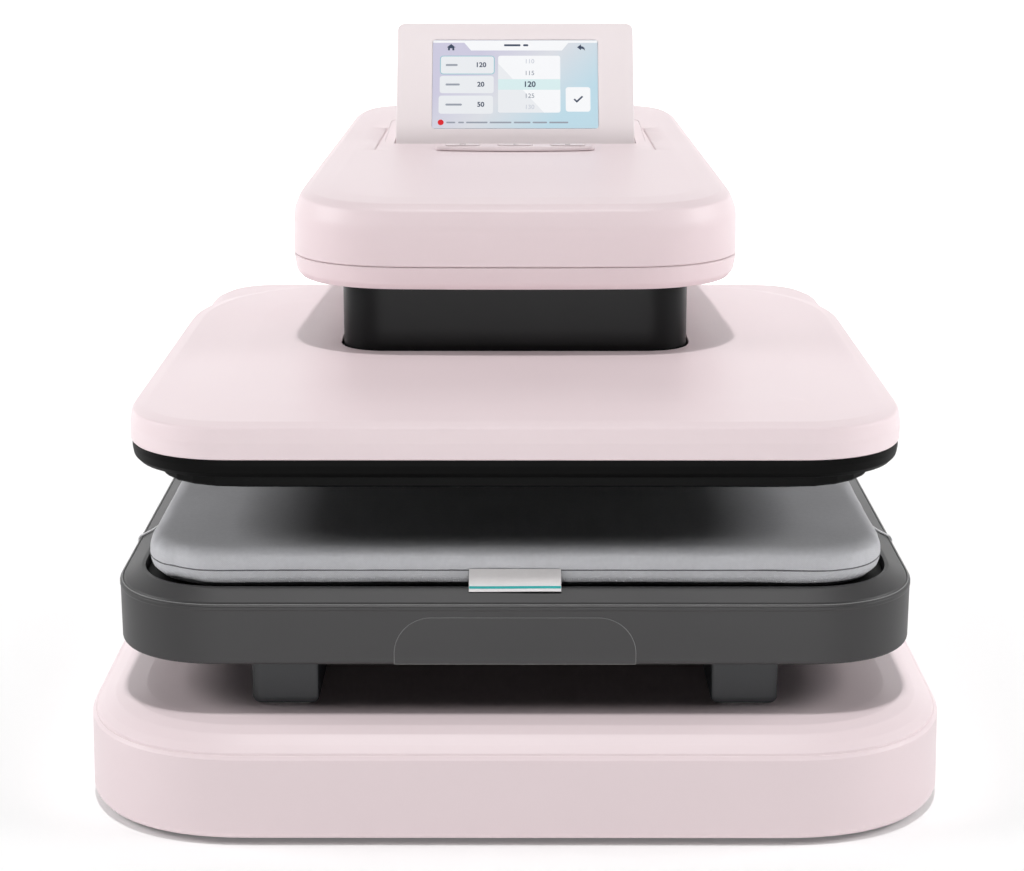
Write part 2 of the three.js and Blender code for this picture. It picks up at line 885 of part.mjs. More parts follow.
function makeBoard() {
  const front = electronicsRear - boardDepth;
  const lift = electronicsFloor + boardLift;
  const margin = boardPostRadius * 2;
  let sheet = block(0, boardWidth, front, electronicsRear, lift, lift + boardThick);
  [margin, boardWidth - margin].forEach((x) => {
    [front + margin, electronicsRear - margin].forEach((y) => {
      sheet = sheet.add(post(boardPostRadius, electronicsFloor, lift + boardThick / 2, x, y));
    });
  });
  [1, 2].forEach((third) => {
    const x = third * boardWidth / 3;
    const y = front + boardDepth / 2;
    sheet = sheet.add(block(
      x - boardBlockWidth / 2,
      x + boardBlockWidth / 2,
      y - boardBlockDepth / 2,
      y + boardBlockDepth / 2,
      lift + boardThick / 2,
      lift + boardThick + boardBlockHeight,
    ));
  });
  return sheet;
}
const board = place(electronics, 'control_board', makeBoard(), boardGreen);
board.position.set(boardSide, -boardSetback, 0);

// Head: two shells that meet at a seam, tapered to the rear, the top rising to the rear.
const headGroup = section('head');

function headBend(point) {
  const along = THREE.MathUtils.clamp((point.y - headTaperStart) / (headRear - headTaperStart), 0, 1);
  const across = 1 - (headTaper / headHalf) * along;
  const nearFront = THREE.MathUtils.clamp((headTaperStart - point.y) / headTaperSetback, 0, 1);
  const bow = headBow * nearFront * Math.min(1, Math.abs(point.x) / headHalf) ** 2;
  return new THREE.Vector2(point.x * across, point.y + bow);
}
const headPlan = {
  half: headHalf,
  front: headFront,
  rear: headRear,
  frontCorner: headCorner,
  rearCorner: headRearCorner,
  fineEdges: true,
  bend: headBend,
};

const wellPlan = {
  half: wellHalf,
  front: wellFront,
  rear: wellRear,
  frontCorner: wellCorner,
  rearCorner: wellCorner,
};

// A narrow slot beside the well, with round ends, that nears the well towards the rear.
function sideSlot(side) {
  const front = new THREE.Vector2(side * (wellHalf + sideSlotFrontGap), wellFront - sideSlotLead);
  const rear = new THREE.Vector2(side * (wellHalf + sideSlotRearGap), front.y + sideSlotLength);
  const heading = Math.atan2(rear.y - front.y, rear.x - front.x);
  const points = [];
  [[front, Math.PI / 2], [rear, -Math.PI / 2]].forEach(([end, turn]) => {
    for (let step = 0; step <= sideSlotStepCount; step += 1) {
      const angle = heading + turn + step / sideSlotStepCount * Math.PI;
      points.push([
        end.x + sideSlotWidth / 2 * Math.cos(angle),
        end.y + sideSlotWidth / 2 * Math.sin(angle),
      ]);
    }
  });
  const low = headSurface(front.y) - headWall - overrun;
  return profileAlongZ(points, low, headSurface(rear.y) + overrun);
}

function makeHeadUpper() {
  const seam = headSeam + seatGap;
  const outer = loft([
    ring(headPlan, 0, seam),
    ring(headPlan, headWall / 3, headCrease - headEdgeRound / 2, headSlope),
    ring(headPlan, headEdgeRound * headCreaseShare, headCrease, headSlope),
    ring(headPlan, headEdgeRound, (headCrease + headTop) / 2, headSlope),
    ring(headPlan, headEdgeRound * 2, headTop - seatGap, headSlope),
    ring(headPlan, headCrownInset, headTop, headSlope),
  ]);
  const inner = loft([
    ring(headPlan, headWall, seam - overrun),
    ring(headPlan, headWall * 4 / 3, headCrease - headEdgeRound / 2 - headWall / 2, headSlope),
    ring(headPlan, headEdgeRound * headCreaseShare + headWall, headCrease - headWall, headSlope),
    ring(headPlan, headEdgeRound + headWall, (headCrease + headTop) / 2 - headWall, headSlope),
    ring(headPlan, headCrownInset, headTop - headWall, headSlope),
  ]);
  const opening = loft([
    ring(wellPlan, -wellSlot, headSurface(wellFront) - headWall - overrun, headSlope),
    ring(wellPlan, -wellSlot, headSurface(wellFront) + overrun, headSlope),
  ]);
  return outer.subtract(inner).subtract(opening).subtract(sideSlot(-1)).subtract(sideSlot(1));
}
place(headGroup, 'head_upper_shell', makeHeadUpper(), pinkPlastic);

const columnPlan = {
  half: columnHalf,
  front: columnFront,
  rear: columnRear,
  frontCorner: columnCorner,
  rearCorner: columnCorner,
};
const collarInset = columnWall + collarGap;

function makeHeadLower() {
  const floor = headBottom + headWall;
  const outer = loft([
    ring(headPlan, headCurl, headBottom),
    ring(headPlan, headCurl / 2, headBottom + headWall / 3),
    ring(headPlan, headCurl / 4, headBottom + headWall * 4 / 3),
    ring(headPlan, headWall / 4, headBottom + headWall * 3),
    ring(headPlan, 0, headSeam),
  ]);
  const inner = loft([
    ring(headPlan, headCurl + headWall, floor),
    ring(headPlan, headCurl / 4 + headWall, floor + headWall),
    ring(headPlan, headWall, floor + headWall * 2),
    ring(headPlan, headWall, headSeam + overrun),
  ]);
  const collarHole = loft([
    ring(columnPlan, collarInset - slideGap, headBottom - overrun),
    ring(columnPlan, collarInset - slideGap, floor + overrun),
  ]);
  const half = mastHalf + mastClear;
  const mastHole = block(
    -half,
    half,
    mastFront - mastClear,
    mastRear + mastClear,
    headBottom - overrun,
    floor + overrun,
  );
  return outer.subtract(inner).subtract(collarHole).subtract(mastHole);
}
place(headGroup, 'head_lower_shell', makeHeadLower(), pinkPlastic);

// The fixed collar hangs from the head inside the moving column and closes it at full travel.
function makeCollar() {
  const flangeBottom = headBottom + headWall + seatGap;
  const flangeTop = flangeBottom + columnWall;
  const tube = loft([
    ring(columnPlan, collarInset, headBottom - collarDrop),
    ring(columnPlan, collarInset, flangeTop),
  ]);
  const flange = loft([
    ring(columnPlan, collarInset - collarFlange, flangeBottom),
    ring(columnPlan, collarInset - collarFlange, flangeTop),
  ]);
  const bore = loft([
    ring(columnPlan, collarInset + columnWall, headBottom - collarDrop - overrun),
    ring(columnPlan, collarInset + columnWall, flangeTop + overrun),
  ]);
  return tube.add(flange).subtract(bore);
}
place(headGroup, 'column_collar', makeCollar(), columnPlastic);

// Screen well: a shallow tub flush with the head's top, into which the screen folds.
const wellFloorLevel = headSurface(wellFront) - wellDepth;
const pinZ = headSurface(pinY) - pinSink;

function makeWell() {
  const flush = headSurface(wellFront) - seatGap;
  const body = loft([
    ring(wellPlan, 0, wellFloorLevel - wellFloor, headSlope),
    ring(wellPlan, 0, flush, headSlope),
  ]);
  const lipTop = headSurface(wellFront) - headWall - wellLipDrop;
  const lip = loft([
    ring(wellPlan, -wellLip, lipTop - wellLipThick, headSlope),
    ring(wellPlan, -wellLip, lipTop, headSlope),
  ]);
  const pocketPlan = {
    half: wellPocketHalf,
    front: wellFront + wellRimFront,
    rear: wellRear - wellRimFront,
    frontCorner: leastCorner,
    rearCorner: leastCorner * 2,
  };
  const pocket = loft([
    ring(pocketPlan, 0, wellFloorLevel, headSlope),
    ring(pocketPlan, 0, flush + overrun, headSlope),
  ]);
  const bore = crossPin(pinRadius + pinGap, 2 * (wellHalf + overrun), pinY, pinZ);
  return body.add(lip).subtract(pocket).subtract(bore);
}
place(headGroup, 'screen_well', makeWell(), pinkPlastic);
const hingePin = crossPin(pinRadius, 2 * (wellHalf - pinInset), pinY, pinZ);
place(headGroup, 'screen_hinge_pin', hingePin, platedSteel);

// Screen: a housing drawn flat about its hinge pin, then leaned back.
const screenGroup = section('screen');
screenGroup.position.set(0, pinY, pinZ);
screenGroup.rotation.x = THREE.MathUtils.degToRad(90 - screenLeanDegrees);
const screenPlan = {
  half: screenWidth / 2,
  front: -screenHeel,
  rear: screenLength - screenHeel,
  frontCorner: screenCorner,
  rearCorner: screenCorner,
};
const glassTop = screenLength - screenHeel - glassTopMargin;
const screenFace = screenThick / 2;

function glassPlan(grow) {
  return {
    half: glassWidth / 2 + grow,
    front: glassTop - glassLength - grow,
    rear: glassTop + grow,
    frontCorner: leastCorner,
    rearCorner: leastCorner,
  };
}

function makeScreenHousing() {
  const casing = loft([
    ring(screenPlan, screenEdge * 2, -screenFace),
    ring(screenPlan, 0, screenEdge * 2 - screenFace),
    ring(screenPlan, 0, screenFace - screenEdge / 2),
    ring(screenPlan, screenEdge / 2, screenFace),
  ]);
  const glassSeat = screenFace - glassRecess - glassThick - seatGap;
  const recess = loft([
    ring(glassPlan(seatGap), 0, glassSeat),
    ring(glassPlan(seatGap), 0, screenFace + overrun),
  ]);
  const pocket = loft([
    ring(glassPlan(-moduleRim), 0, glassSeat - moduleDepth),
    ring(glassPlan(-moduleRim), 0, glassSeat + seatGap),
  ]);
  const bore = crossPin(pinRadius + pinGap, screenWidth + overrun, 0, 0);
  return casing.subtract(recess).subtract(pocket).subtract(bore);
}
place(screenGroup, 'screen_housing', makeScreenHousing(), pinkPlastic);
place(screenGroup, 'display_glass', loft([
  ring(glassPlan(0), 0, screenFace - glassRecess - glassThick),
  ring(glassPlan(0), 0, screenFace - glassRecess),
]), glass);

// Key bar: a low bowed strip on the head's top with three keys set in it.
const keyCentreY = barFront + keySetback + keyDepth / 2;

function barBend(point) {
  const share = Math.min(1, Math.abs(point.x) / (barWidth / 2));
  const nearFront = THREE.MathUtils.clamp((barFront + barDepth - point.y) / barDepth, 0, 1);
  return new THREE.Vector2(point.x, point.y + barBow * share * share * nearFront);
}
const barPlan = {
  half: barWidth / 2,
  front: barFront,
  rear: barFront + barDepth,
  frontCorner: barCorner,
  rearCorner: leastCorner,
  fineEdges: true,
  bend: barBend,
};

function keyPlan(grow) {
  return {
    half: keyWidth / 2 + grow,
    front: keyCentreY - keyDepth / 2 - grow,
    rear: keyCentreY + keyDepth / 2 + grow,
    frontCorner: keyCorner,
    rearCorner: keyCorner,
  };
}

function makeBar() {
  const seat = headSurface(barFront) + seatGap;
  let bar = loft([
    ring(barPlan, 0, seat, headSlope),
    ring(barPlan, 0, seat + barHeight - barEdge, headSlope),
    ring(barPlan, barEdge, seat + barHeight, headSlope),
  ]);
  const keyHole = loft([
    ring(keyPlan(keyGap), 0, seat - overrun),
    ring(keyPlan(keyGap), 0, seat + barHeight + overrun),
  ]);
  [-1, 0, 1].forEach((column) => {
    bar = bar.subtract(keyHole.translate([column * keyPitch, 0, 0]));
  });
  return bar;
}
place(headGroup, 'key_bar', makeBar(), pinkPlastic);

const keyTop = headSurface(keyCentreY) + seatGap + barHeight + keyProud;
const keyBody = loft([
  ring(keyPlan(0), 0, keyTop - keyThick),
  ring(keyPlan(0), 0, keyTop - keyProud / 2),
  ring(keyPlan(0), keyProud, keyTop),
]);
[['key_left', -1], ['key_middle', 0], ['key_right', 1]].forEach(([name, column]) => {
  place(headGroup, name, keyBody, keyPlastic).position.x = column * keyPitch;
});

// Beam: a flanged steel plate bolted to the mast, which carries the drive and the guides.
const drive = section('drive');

function makeBeam() {
  const half = beamHalf;
  const rear = mastFront - seatGap;
  const top = beamBottom + beamSheet;
  let beam = block(-half, half, beamFront, rear, beamBottom, top);
  beam = beam.add(block(-half, half, rear - beamSheet, rear, beamBottom - beamFlangeDrop + beamSheet, top));
  [-1, 1].forEach((side) => {
    const edge = side * half;
    const inner = edge - side * beamRib;
    beam = beam.add(block(
      Math.min(edge, inner),
      Math.max(edge, inner),
      beamFront,
      rear,
      beamBottom,
      top + beamRibHeight,
    ));
    const holeRadius = rodRadius + runningGap * 2;
    beam = beam.subtract(post(holeRadius, beamBottom - overrun, top + overrun, side * rodX, driveY));
  });
  beam = beam.subtract(post(nutRadius + runningGap, beamBottom - overrun, top + overrun, 0, driveY));
  const shaftHole = post(motorShaftRadius * 2, beamBottom - overrun, top + overrun, -gearDistance, driveY);
  return beam.subtract(shaftHole);
}
place(drive, 'head_beam', makeBeam(), steel);

[['guide_bush_left', -1], ['guide_bush_right', 1]].forEach(([name, side]) => {
  const top = beamBottom - seatGap;
  const bush = post(bushRadius, top - bushLength, top)
    .add(post(bushFlangeRadius, top - bushFlangeThick, top))
    .subtract(post(rodRadius + runningGap, top - bushLength - overrun, top + overrun));
  place(drive, name, bush, brass).position.set(side * rodX, driveY, 0);
});

const bearingTop = beamBottom - seatGap;
const bearingBottom = bearingTop - bearingHeight;
const bearing = post(bearingRadius, bearingBottom, bearingTop, 0, driveY, footSideCount)
  .subtract(post(nutRadius + runningGap, bearingBottom - overrun, bearingTop + overrun, 0, driveY));
place(drive, 'thrust_bearing', bearing, platedSteel);

function makeMotor() {
  const top = beamBottom - seatGap;
  const can = post(motorRadius, top - motorLength, top, 0, 0, footSideCount);
  return can.subtract(post(motorShaftRadius + runningGap, top - motorRadius, top + overrun));
}
place(drive, 'drive_motor', makeMotor(), platedSteel).position.set(-gearDistance, driveY, 0);

// Spur gear outline with straight-flanked teeth, a little thinned so that a pair runs free.
function gearPoints(teethCount) {
  const pitch = gearModule * teethCount / 2;
  const tip = pitch + gearModule * gearTipShare;
  const root = pitch - gearModule * gearRootShare;
  const quarter = Math.PI / teethCount / 2;
  const slack = gearBacklash / 2 / pitch;
  const points = [];
  for (let tooth = 0; tooth < teethCount; tooth += 1) {
    const middle = tooth / teethCount * 2 * Math.PI;
    const corners = [
      [root, -toothRootShare],
      [tip, -toothTipShare],
      [tip, toothTipShare],
      [root, toothRootShare],
    ];
    corners.forEach(([radius, share]) => {
      const angle = middle + share * quarter - Math.sign(share) * slack;
      points.push([radius * Math.cos(angle), radius * Math.sin(angle)]);
    });
  }
  return points;
}

const driveNut = post(nutRadius, nutBottom, gearTop, 0, driveY)
  .subtract(post(screwRadius + runningGap, nutBottom - overrun, gearTop + overrun, 0, driveY));
place(drive, 'drive_nut', driveNut, brass);

const nutGear = profileAlongZ(gearPoints(gearTeethCount), gearBottom, gearTop)
  .subtract(post(nutRadius + seatGap, gearBottom - overrun, gearTop + overrun));
place(drive, 'nut_gear', nutGear, steel).position.y = driveY;

function makePinion() {
  const wheel = profileAlongZ(gearPoints(pinionTeethCount), gearBottom, gearTop);
  return wheel.add(post(motorShaftRadius, bearingBottom, gearTop));
}
place(drive, 'motor_pinion', makePinion(), steel).position.set(-gearDistance, driveY, 0);

// Press body: hood, skirt, heat plate and the crosshead that carries them.
const pressBody = section('press_body');

const hoodPlan = {
  half: hoodWidth / 2,
  front: hoodFront,
  rear: hoodRear,
  frontCorner: hoodCorner,
  rearCorner: hoodRearCorner,
};
const hoodCrownPlan = { ...hoodPlan, rear: hoodRear - hoodRearRound, rearCorner: hoodCrownRearCorner };

function makeHood() {
  const hoodSide = (hoodBottom + hoodCrease) / 2;
  const outer = loft([
    ring(hoodPlan, hoodWall / 5, hoodBottom),
    ring(hoodPlan, 0, hoodBottom + hoodWall / 2),
    ring(hoodPlan, 0, hoodSide),
    ...hoodEdgeShares.map(([inwards, downwards]) => (
      ring(hoodCrownPlan, hoodEdgeRound * inwards, hoodCrease - hoodEdgeRound * downwards)
    )),
    ring(hoodCrownPlan, hoodEdgeRound, (hoodCrease * 2 + hoodTop) / 3),
    ring(hoodCrownPlan, hoodEdgeRound * 2, (hoodCrease + hoodTop) / 2),
    ring(hoodCrownPlan, hoodCrownInset, hoodTop),
  ]);
  const inner = loft([
    ring(hoodPlan, hoodWall, hoodBottom - overrun),
    ring(hoodPlan, hoodWall, hoodSide - hoodWall / 2),
    ring(hoodCrownPlan, hoodEdgeRound / 2 + hoodWall, hoodCrease - hoodWall * 4 / 3),
    ring(hoodCrownPlan, hoodEdgeRound * 2 + hoodWall, (hoodCrease + hoodTop) / 2 - hoodWall),
    ring(hoodCrownPlan, hoodCrownInset, hoodTop - hoodWall),
  ]);
  const opening = loft([
    ring(columnPlan, -columnHoodGap, hoodBottom),
    ring(columnPlan, -columnHoodGap, hoodTop + overrun),
  ]);
  return outer.subtract(inner).subtract(opening);
}
place(pressBody, 'hood_shell', makeHood(), pinkPlastic);

function squarePlan(margin) {
  return {
    half: plateWidth / 2 - margin,
    front: plateFront + margin,
    rear: plateRear - margin,
    frontCorner: plateCorner,
    rearCorner: plateCorner,
  };
}

function makeSkirt() {
  const top = hoodBottom - seatGap;
  const height = top - skirtBottom;
  const outer = loft([
    ...skirtShares.map(([inwards, upwards]) => (
      ring(hoodPlan, skirtTuck * inwards, skirtBottom + height * upwards)
    )),
    ring(hoodPlan, skirtInset, skirtBottom + height * skirtBandShare),
    ring(hoodPlan, skirtInset, top),
  ]);
  const bore = loft([
    ring(squarePlan(skirtLap), 0, skirtBottom - overrun),
    ring(squarePlan(skirtLap), 0, top + overrun),
  ]);
  return outer.subtract(bore);
}
place(pressBody, 'hood_skirt', makeSkirt(), blackPlastic);

const platePlan = squarePlan(0);
place(pressBody, 'heat_plate', loft([
  ring(platePlan, plateEdge, plateBottom),
  ring(platePlan, 0, plateBottom + plateEdge),
  ring(platePlan, 0, plateTop),
]), coatedAluminium);

const heaterPlan = squarePlan(heaterMargin);
place(pressBody, 'heater_mat', loft([
  ring(heaterPlan, 0, heaterBottom),
  ring(heaterPlan, 0, heaterBottom + heaterThick),
]), heaterMica);
place(pressBody, 'insulation_board', loft([
  ring(heaterPlan, 0, insulationBottom),
  ring(heaterPlan, 0, insulationBottom + insulationThick),
]), insulationFelt);

const crosshead = block(
  crossheadSideMargin - plateWidth / 2,
  plateWidth / 2 - crossheadSideMargin,
  plateFront + crossheadEndMargin,
  plateRear - crossheadEndMargin,
  crossheadBottom,
  crossheadTop,
);
place(pressBody, 'crosshead', crosshead, steel);

const columnTop = headBottom - columnTopGap;
const columnBore = loft([
  ring(columnPlan, columnWall, columnFoot - overrun),
  ring(columnPlan, columnWall, columnTop + overrun),
]);
const columnTube = loft([ring(columnPlan, 0, columnFoot), ring(columnPlan, 0, columnTop)]);
place(pressBody, 'column_sleeve', columnTube.subtract(columnBore), columnPlastic);

place(pressBody, 'lead_screw', post(screwRadius, columnFoot, rodTop, 0, driveY), platedSteel);
[['guide_rod_left', -1], ['guide_rod_right', 1]].forEach(([name, side]) => {
  const rod = place(pressBody, name, post(rodRadius, columnFoot, rodTop), platedSteel);
  rod.position.set(side * rodX, driveY, 0);
});

// Drawer: tray, platen, pad and runners, which slide out together.
const drawer = section('drawer');
const trayPlan = {
  half: trayHalf,
  front: trayFront,
  rear: trayRear,
  frontCorner: trayCorner,
  rearCorner: trayCorner,
};
const trayCavityInset = trayRimWidth + trayLedgeWidth;
const trayChannelInset = trayCavityInset - trayInnerWall;

function pullShape(grow, depth) {
  const half = pullWidth / 2 + grow;
  const top = pullTop + grow;
  const corner = pullCorner + grow;
  const shape = new THREE.Shape();
  shape.moveTo(-half, trayBottom - overrun);
  shape.lineTo(half, trayBottom - overrun);
  shape.lineTo(half, top - corner);
  shape.absarc(half - corner, top - corner, corner, 0, Math.PI / 2, false);
  shape.absarc(corner - half, top - corner, corner, Math.PI / 2, Math.PI, false);
  const geometry = new THREE.ExtrudeGeometry(shape, {
    depth,
    bevelEnabled: false,
    curveSegments: cornerStepCount / 2,
  });
  geometry.rotateX(Math.PI / 2);
  geometry.translate(0, trayFront + depth, 0);
  return solid(geometry);
}

function makeTray() {
  const outer = loft([
    ring(trayPlan, trayEdgeRound, trayBottom),
    ring(trayPlan, trayEdgeRound * quarterRoundShare, trayBottom + trayEdgeRound * quarterRoundShare),
    ring(trayPlan, 0, trayBottom + trayEdgeRound),
    ring(trayPlan, 0, trayCrease - trayEdgeRound),
    ring(trayPlan, trayEdgeRound * quarterRoundShare, trayCrease),
    ring(trayPlan, trayEdgeRound, trayRimEdge),
    ring(trayPlan, trayRimWidth - trayEdgeRound / 2, trayRimTop),
    ring(trayPlan, trayRimWidth, trayRimTop),
  ]);
  const seat = loft([
    ring(trayPlan, trayRimWidth, trayLedgeTop),
    ring(trayPlan, trayRimWidth, trayRimTop + overrun),
  ]);
  const cavity = loft([
    ring(trayPlan, trayCavityInset, trayBottom + trayFloor),
    ring(trayPlan, trayCavityInset, trayLedgeTop + overrun),
  ]);
  const channelTop = trayLedgeTop - trayLedgeThick;
  const channel = loft([ring(trayPlan, trayWall, trayBottom - overrun), ring(trayPlan, trayWall, channelTop)])
    .subtract(loft([
      ring(trayPlan, trayChannelInset, trayBottom - overrun * 2),
      ring(trayPlan, trayChannelInset, channelTop + overrun),
    ]));
  let tray = outer.subtract(seat).subtract(cavity).subtract(channel);
  const ribHalf = trayHalf - trayChannelInset - trayInnerWall / 2;
  const ribReach = ribHalf + (trayDepth - trayWidth) / 2;
  [-1, 1].forEach((side) => {
    const x = side * runnerX;
    tray = tray.add(block(
      x - trayRibThick / 2,
      x + trayRibThick / 2,
      trayMiddle - ribReach,
      trayMiddle + ribReach,
      trayBottom + trayFloor / 2,
      trayLedgeTop,
    ));
  });
  tray = tray.add(block(
    -ribHalf,
    ribHalf,
    trayMiddle - trayRibThick / 2,
    trayMiddle + trayRibThick / 2,
    trayBottom + trayFloor / 2,
    trayLedgeTop,
  ));
  return tray.subtract(pullShape(pullGap, pullThick + seatGap));
}
place(drawer, 'tray_shell', makeTray(), darkPlastic);

function makePull() {
  const blank = pullShape(0, pullThick);
  const rear = trayFront + pullThick + overrun;
  const low = block(-pullWidth, pullWidth, trayFront - overrun, rear, 0, trayBottom + seatGap);
  return blank.subtract(low);
}
place(drawer, 'tray_pull', makePull(), darkPlastic);

const platenInset = trayRimWidth + platenGap;
place(drawer, 'lower_platen', loft([
  ring(trayPlan, platenInset, platenBottom),
  ring(trayPlan, platenInset, platenBottom + platenThick),
]), steel);

// Pad: flat below, its sides rolled and drawn in between the corners, a low crown on top.
function padBend(point) {
  const shareX = Math.min(1, Math.abs(point.x) / (trayHalf - padInset));
  const shareY = Math.min(1, Math.abs(point.y - trayMiddle) / (trayDepth / 2 - padInset));
  const inX = padDrawIn * (1 - shareY * shareY) * shareX ** 4;
  const inY = padDrawIn * (1 - shareX * shareX) * shareY ** 4;
  const x = point.x - Math.sign(point.x) * inX;
  const y = point.y - Math.sign(point.y - trayMiddle) * inY;
  return new THREE.Vector2(x, y);
}
const padPlan = {
  half: trayHalf - padInset,
  front: trayFront + padInset,
  rear: trayRear - padInset,
  frontCorner: trayCorner - padInset,
  rearCorner: trayCorner - padInset,
  fineEdges: true,
  bend: padBend,
};
place(drawer, 'press_pad', loft([
  ring(padPlan, padTuck, padBottom),
  ring(padPlan, padRoll, padBottom + padTuck / 2),
  ring(padPlan, 0, padBottom + padTuck),
  ring(padPlan, padRoll / 3, padSeam - padRoll),
  ring(padPlan, padRoll, padSeam),
  ring(padPlan, padRoll / 2, padSeam + padRoll),
  ring(padPlan, padRoll, padSeam + padTuck / 2),
  ring(padPlan, padTuck, padTop - padRoll * 2),
  ...padCrownShares.map(([inwards, downwards]) => (
    ring(padPlan, padShoulder * inwards, padTop - padCrown * downwards)
  )),
]), padFabric);

// Tag: a doubled strip that leaves the front seam and lies over the gap towards the rim.
const tagPlan = {
  half: tagWidth / 2,
  front: -Math.hypot(tagReach, tagDrop),
  rear: 0,
  frontCorner: leastCorner / 2,
  rearCorner: leastCorner / 2,
};
const tag = place(drawer, 'pad_tag', loft([ring(tagPlan, 0, 0), ring(tagPlan, 0, tagThick)]), tagFabric);
tag.position.set(0, trayFront + padInset + padDrawIn + padRoll - seatGap, padSeam + seatGap);
tag.rotation.x = Math.atan2(tagDrop, tagReach);

// Elastics: each leaves the pad's side, crosses the rim and tucks under the tray's edge.
function makeElastic(side) {
  const lift = elasticRadius + elasticClear;
  const padEdge = trayHalf - padInset;
  const route = [
    [padEdge + lift, padSeam - padRoll],
    [padEdge + lift + padGap, trayRimTop + lift * 3 / 2],
    [trayHalf - trayRimWidth / 2, trayRimTop + lift],
    [trayHalf - trayEdgeRound, trayRimEdge + lift * 4 / 3],
    [trayHalf + lift, trayCrease],
    [trayHalf + lift, (trayCrease + trayBottom) / 2],
    [trayHalf + lift, trayBottom + trayEdgeRound],
    [trayHalf + lift / 3, trayBottom - lift / 3],
    [trayHalf - elasticTuck, trayBottom - lift],
  ];
  const curve = new THREE.CatmullRomCurve3(
    route.map(([x, z]) => new THREE.Vector3(side * x, trayMiddle - elasticForward, z)),
    false,
    'centripetal',
  );
  const circle = new THREE.Shape();
  circle.absarc(0, 0, elasticRadius, 0, Math.PI * 2, false);
  return solid(new THREE.ExtrudeGeometry(circle, {
    steps: elasticStepCount,
    extrudePath: curve,
    curveSegments: elasticSideCount / 2,
    bevelEnabled: false,
  }));
}
place(drawer, 'pad_elastic_left', makeElastic(-1), elasticFabric);
place(drawer, 'pad_elastic_right', makeElastic(1), elasticFabric);

// Runner housing: an inverted channel with a closed front, over the telescopic slide.
const runnerTop = trayBottom - seatGap;
const runnerBottom = baseTop + runnerClear;
const runnerFront = trayFront + runnerInset;
const runnerRear = trayRear - runnerInset;

function makeRunner() {
  const half = runnerWidth / 2;
  const corner = runnerCorner;
  const shape = new THREE.Shape();
  shape.moveTo(-half, runnerTop);
  shape.lineTo(-half, runnerBottom + corner);
  shape.absarc(corner - half, runnerBottom + corner, corner, Math.PI, Math.PI * 1.5, false);
  shape.absarc(half - corner, runnerBottom + corner, corner, Math.PI * 1.5, Math.PI * 2, false);
  shape.lineTo(half, runnerTop);
  const blank = new THREE.ExtrudeGeometry(shape, {
    depth: runnerRear - runnerFront,
    bevelEnabled: false,
    curveSegments: cornerStepCount / 2,
  });
  blank.rotateX(Math.PI / 2);
  blank.translate(0, runnerRear, 0);
  const hollow = block(
    runnerWall - half,
    half - runnerWall,
    runnerFront + runnerWall,
    runnerRear + overrun,
    runnerBottom - overrun,
    runnerTop - runnerWall,
  );
  return solid(blank).subtract(hollow);
}

// Telescopic slide in section: an outer channel on the base, an inner one under the tray,
// and a middle bar with a head trapped in each.
const slideFront = runnerFront + slideInset;
const slideRear = runnerRear - slideInset;
const slideHalf = runnerWidth / 2 - runnerWall - slideSideGap;
const slideLow = baseTop + seatGap;
const slideHigh = runnerTop - runnerWall - seatGap;

function slideChannel(foot, mouth, direction) {
  const lip = slideSlot / 2;
  const sheet = slideSheet * direction;
  const points = [
    [-slideHalf, foot],
    [slideHalf, foot],
    [slideHalf, mouth],
    [lip, mouth],
    [lip, mouth - sheet],
    [slideHalf - slideSheet, mouth - sheet],
    [slideHalf - slideSheet, foot + sheet],
    [slideSheet - slideHalf, foot + sheet],
    [slideSheet - slideHalf, mouth - sheet],
    [-lip, mouth - sheet],
    [-lip, mouth],
    [-slideHalf, mouth],
  ];
  return direction > 0 ? points : points.reverse();
}
const slideRoom = slideHeadHeight + slideGap * 2;
const outerMouth = slideLow + slideSheet * 2 + slideRoom;
const innerMouth = slideHigh - slideSheet * 2 - slideRoom;

function middleBar() {
  const head = slideHalf - slideSheet - slideGap;
  const web = slideWeb / 2;
  const low = slideLow + slideSheet + slideGap;
  const high = slideHigh - slideSheet - slideGap;
  return [
    [-head, low],
    [head, low],
    [head, low + slideHeadHeight],
    [web, low + slideHeadHeight],
    [web, high - slideHeadHeight],
    [head, high - slideHeadHeight],
    [head, high],
    [-head, high],
    [-head, high - slideHeadHeight],
    [-web, high - slideHeadHeight],
    [-web, low + slideHeadHeight],
    [-head, low + slideHeadHeight],
  ];
}
[['left', -1], ['right', 1]].forEach(([name, side]) => {
  const x = side * runnerX;
  const outer = profileAlongY(slideChannel(slideLow, outerMouth, 1), slideFront, slideRear);
  const inner = profileAlongY(slideChannel(slideHigh, innerMouth, -1), slideFront, slideRear);
  place(baseGroup, `slide_outer_${name}`, outer, platedSteel).position.x = x;
  const middle = profileAlongY(middleBar(), slideFront, slideRear);
  place(drawer, `slide_middle_${name}`, middle, platedSteel).position.x = x;
  place(drawer, `slide_inner_${name}`, inner, platedSteel).position.x = x;
  place(drawer, `runner_housing_${name}`, makeRunner(), blackPlastic).position.x = x;
});

export default press;
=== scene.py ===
import json
import math
from collections import namedtuple

import bmesh
import bpy
from mathutils import Matrix, Vector, noise
from mathutils.bvhtree import BVHTree


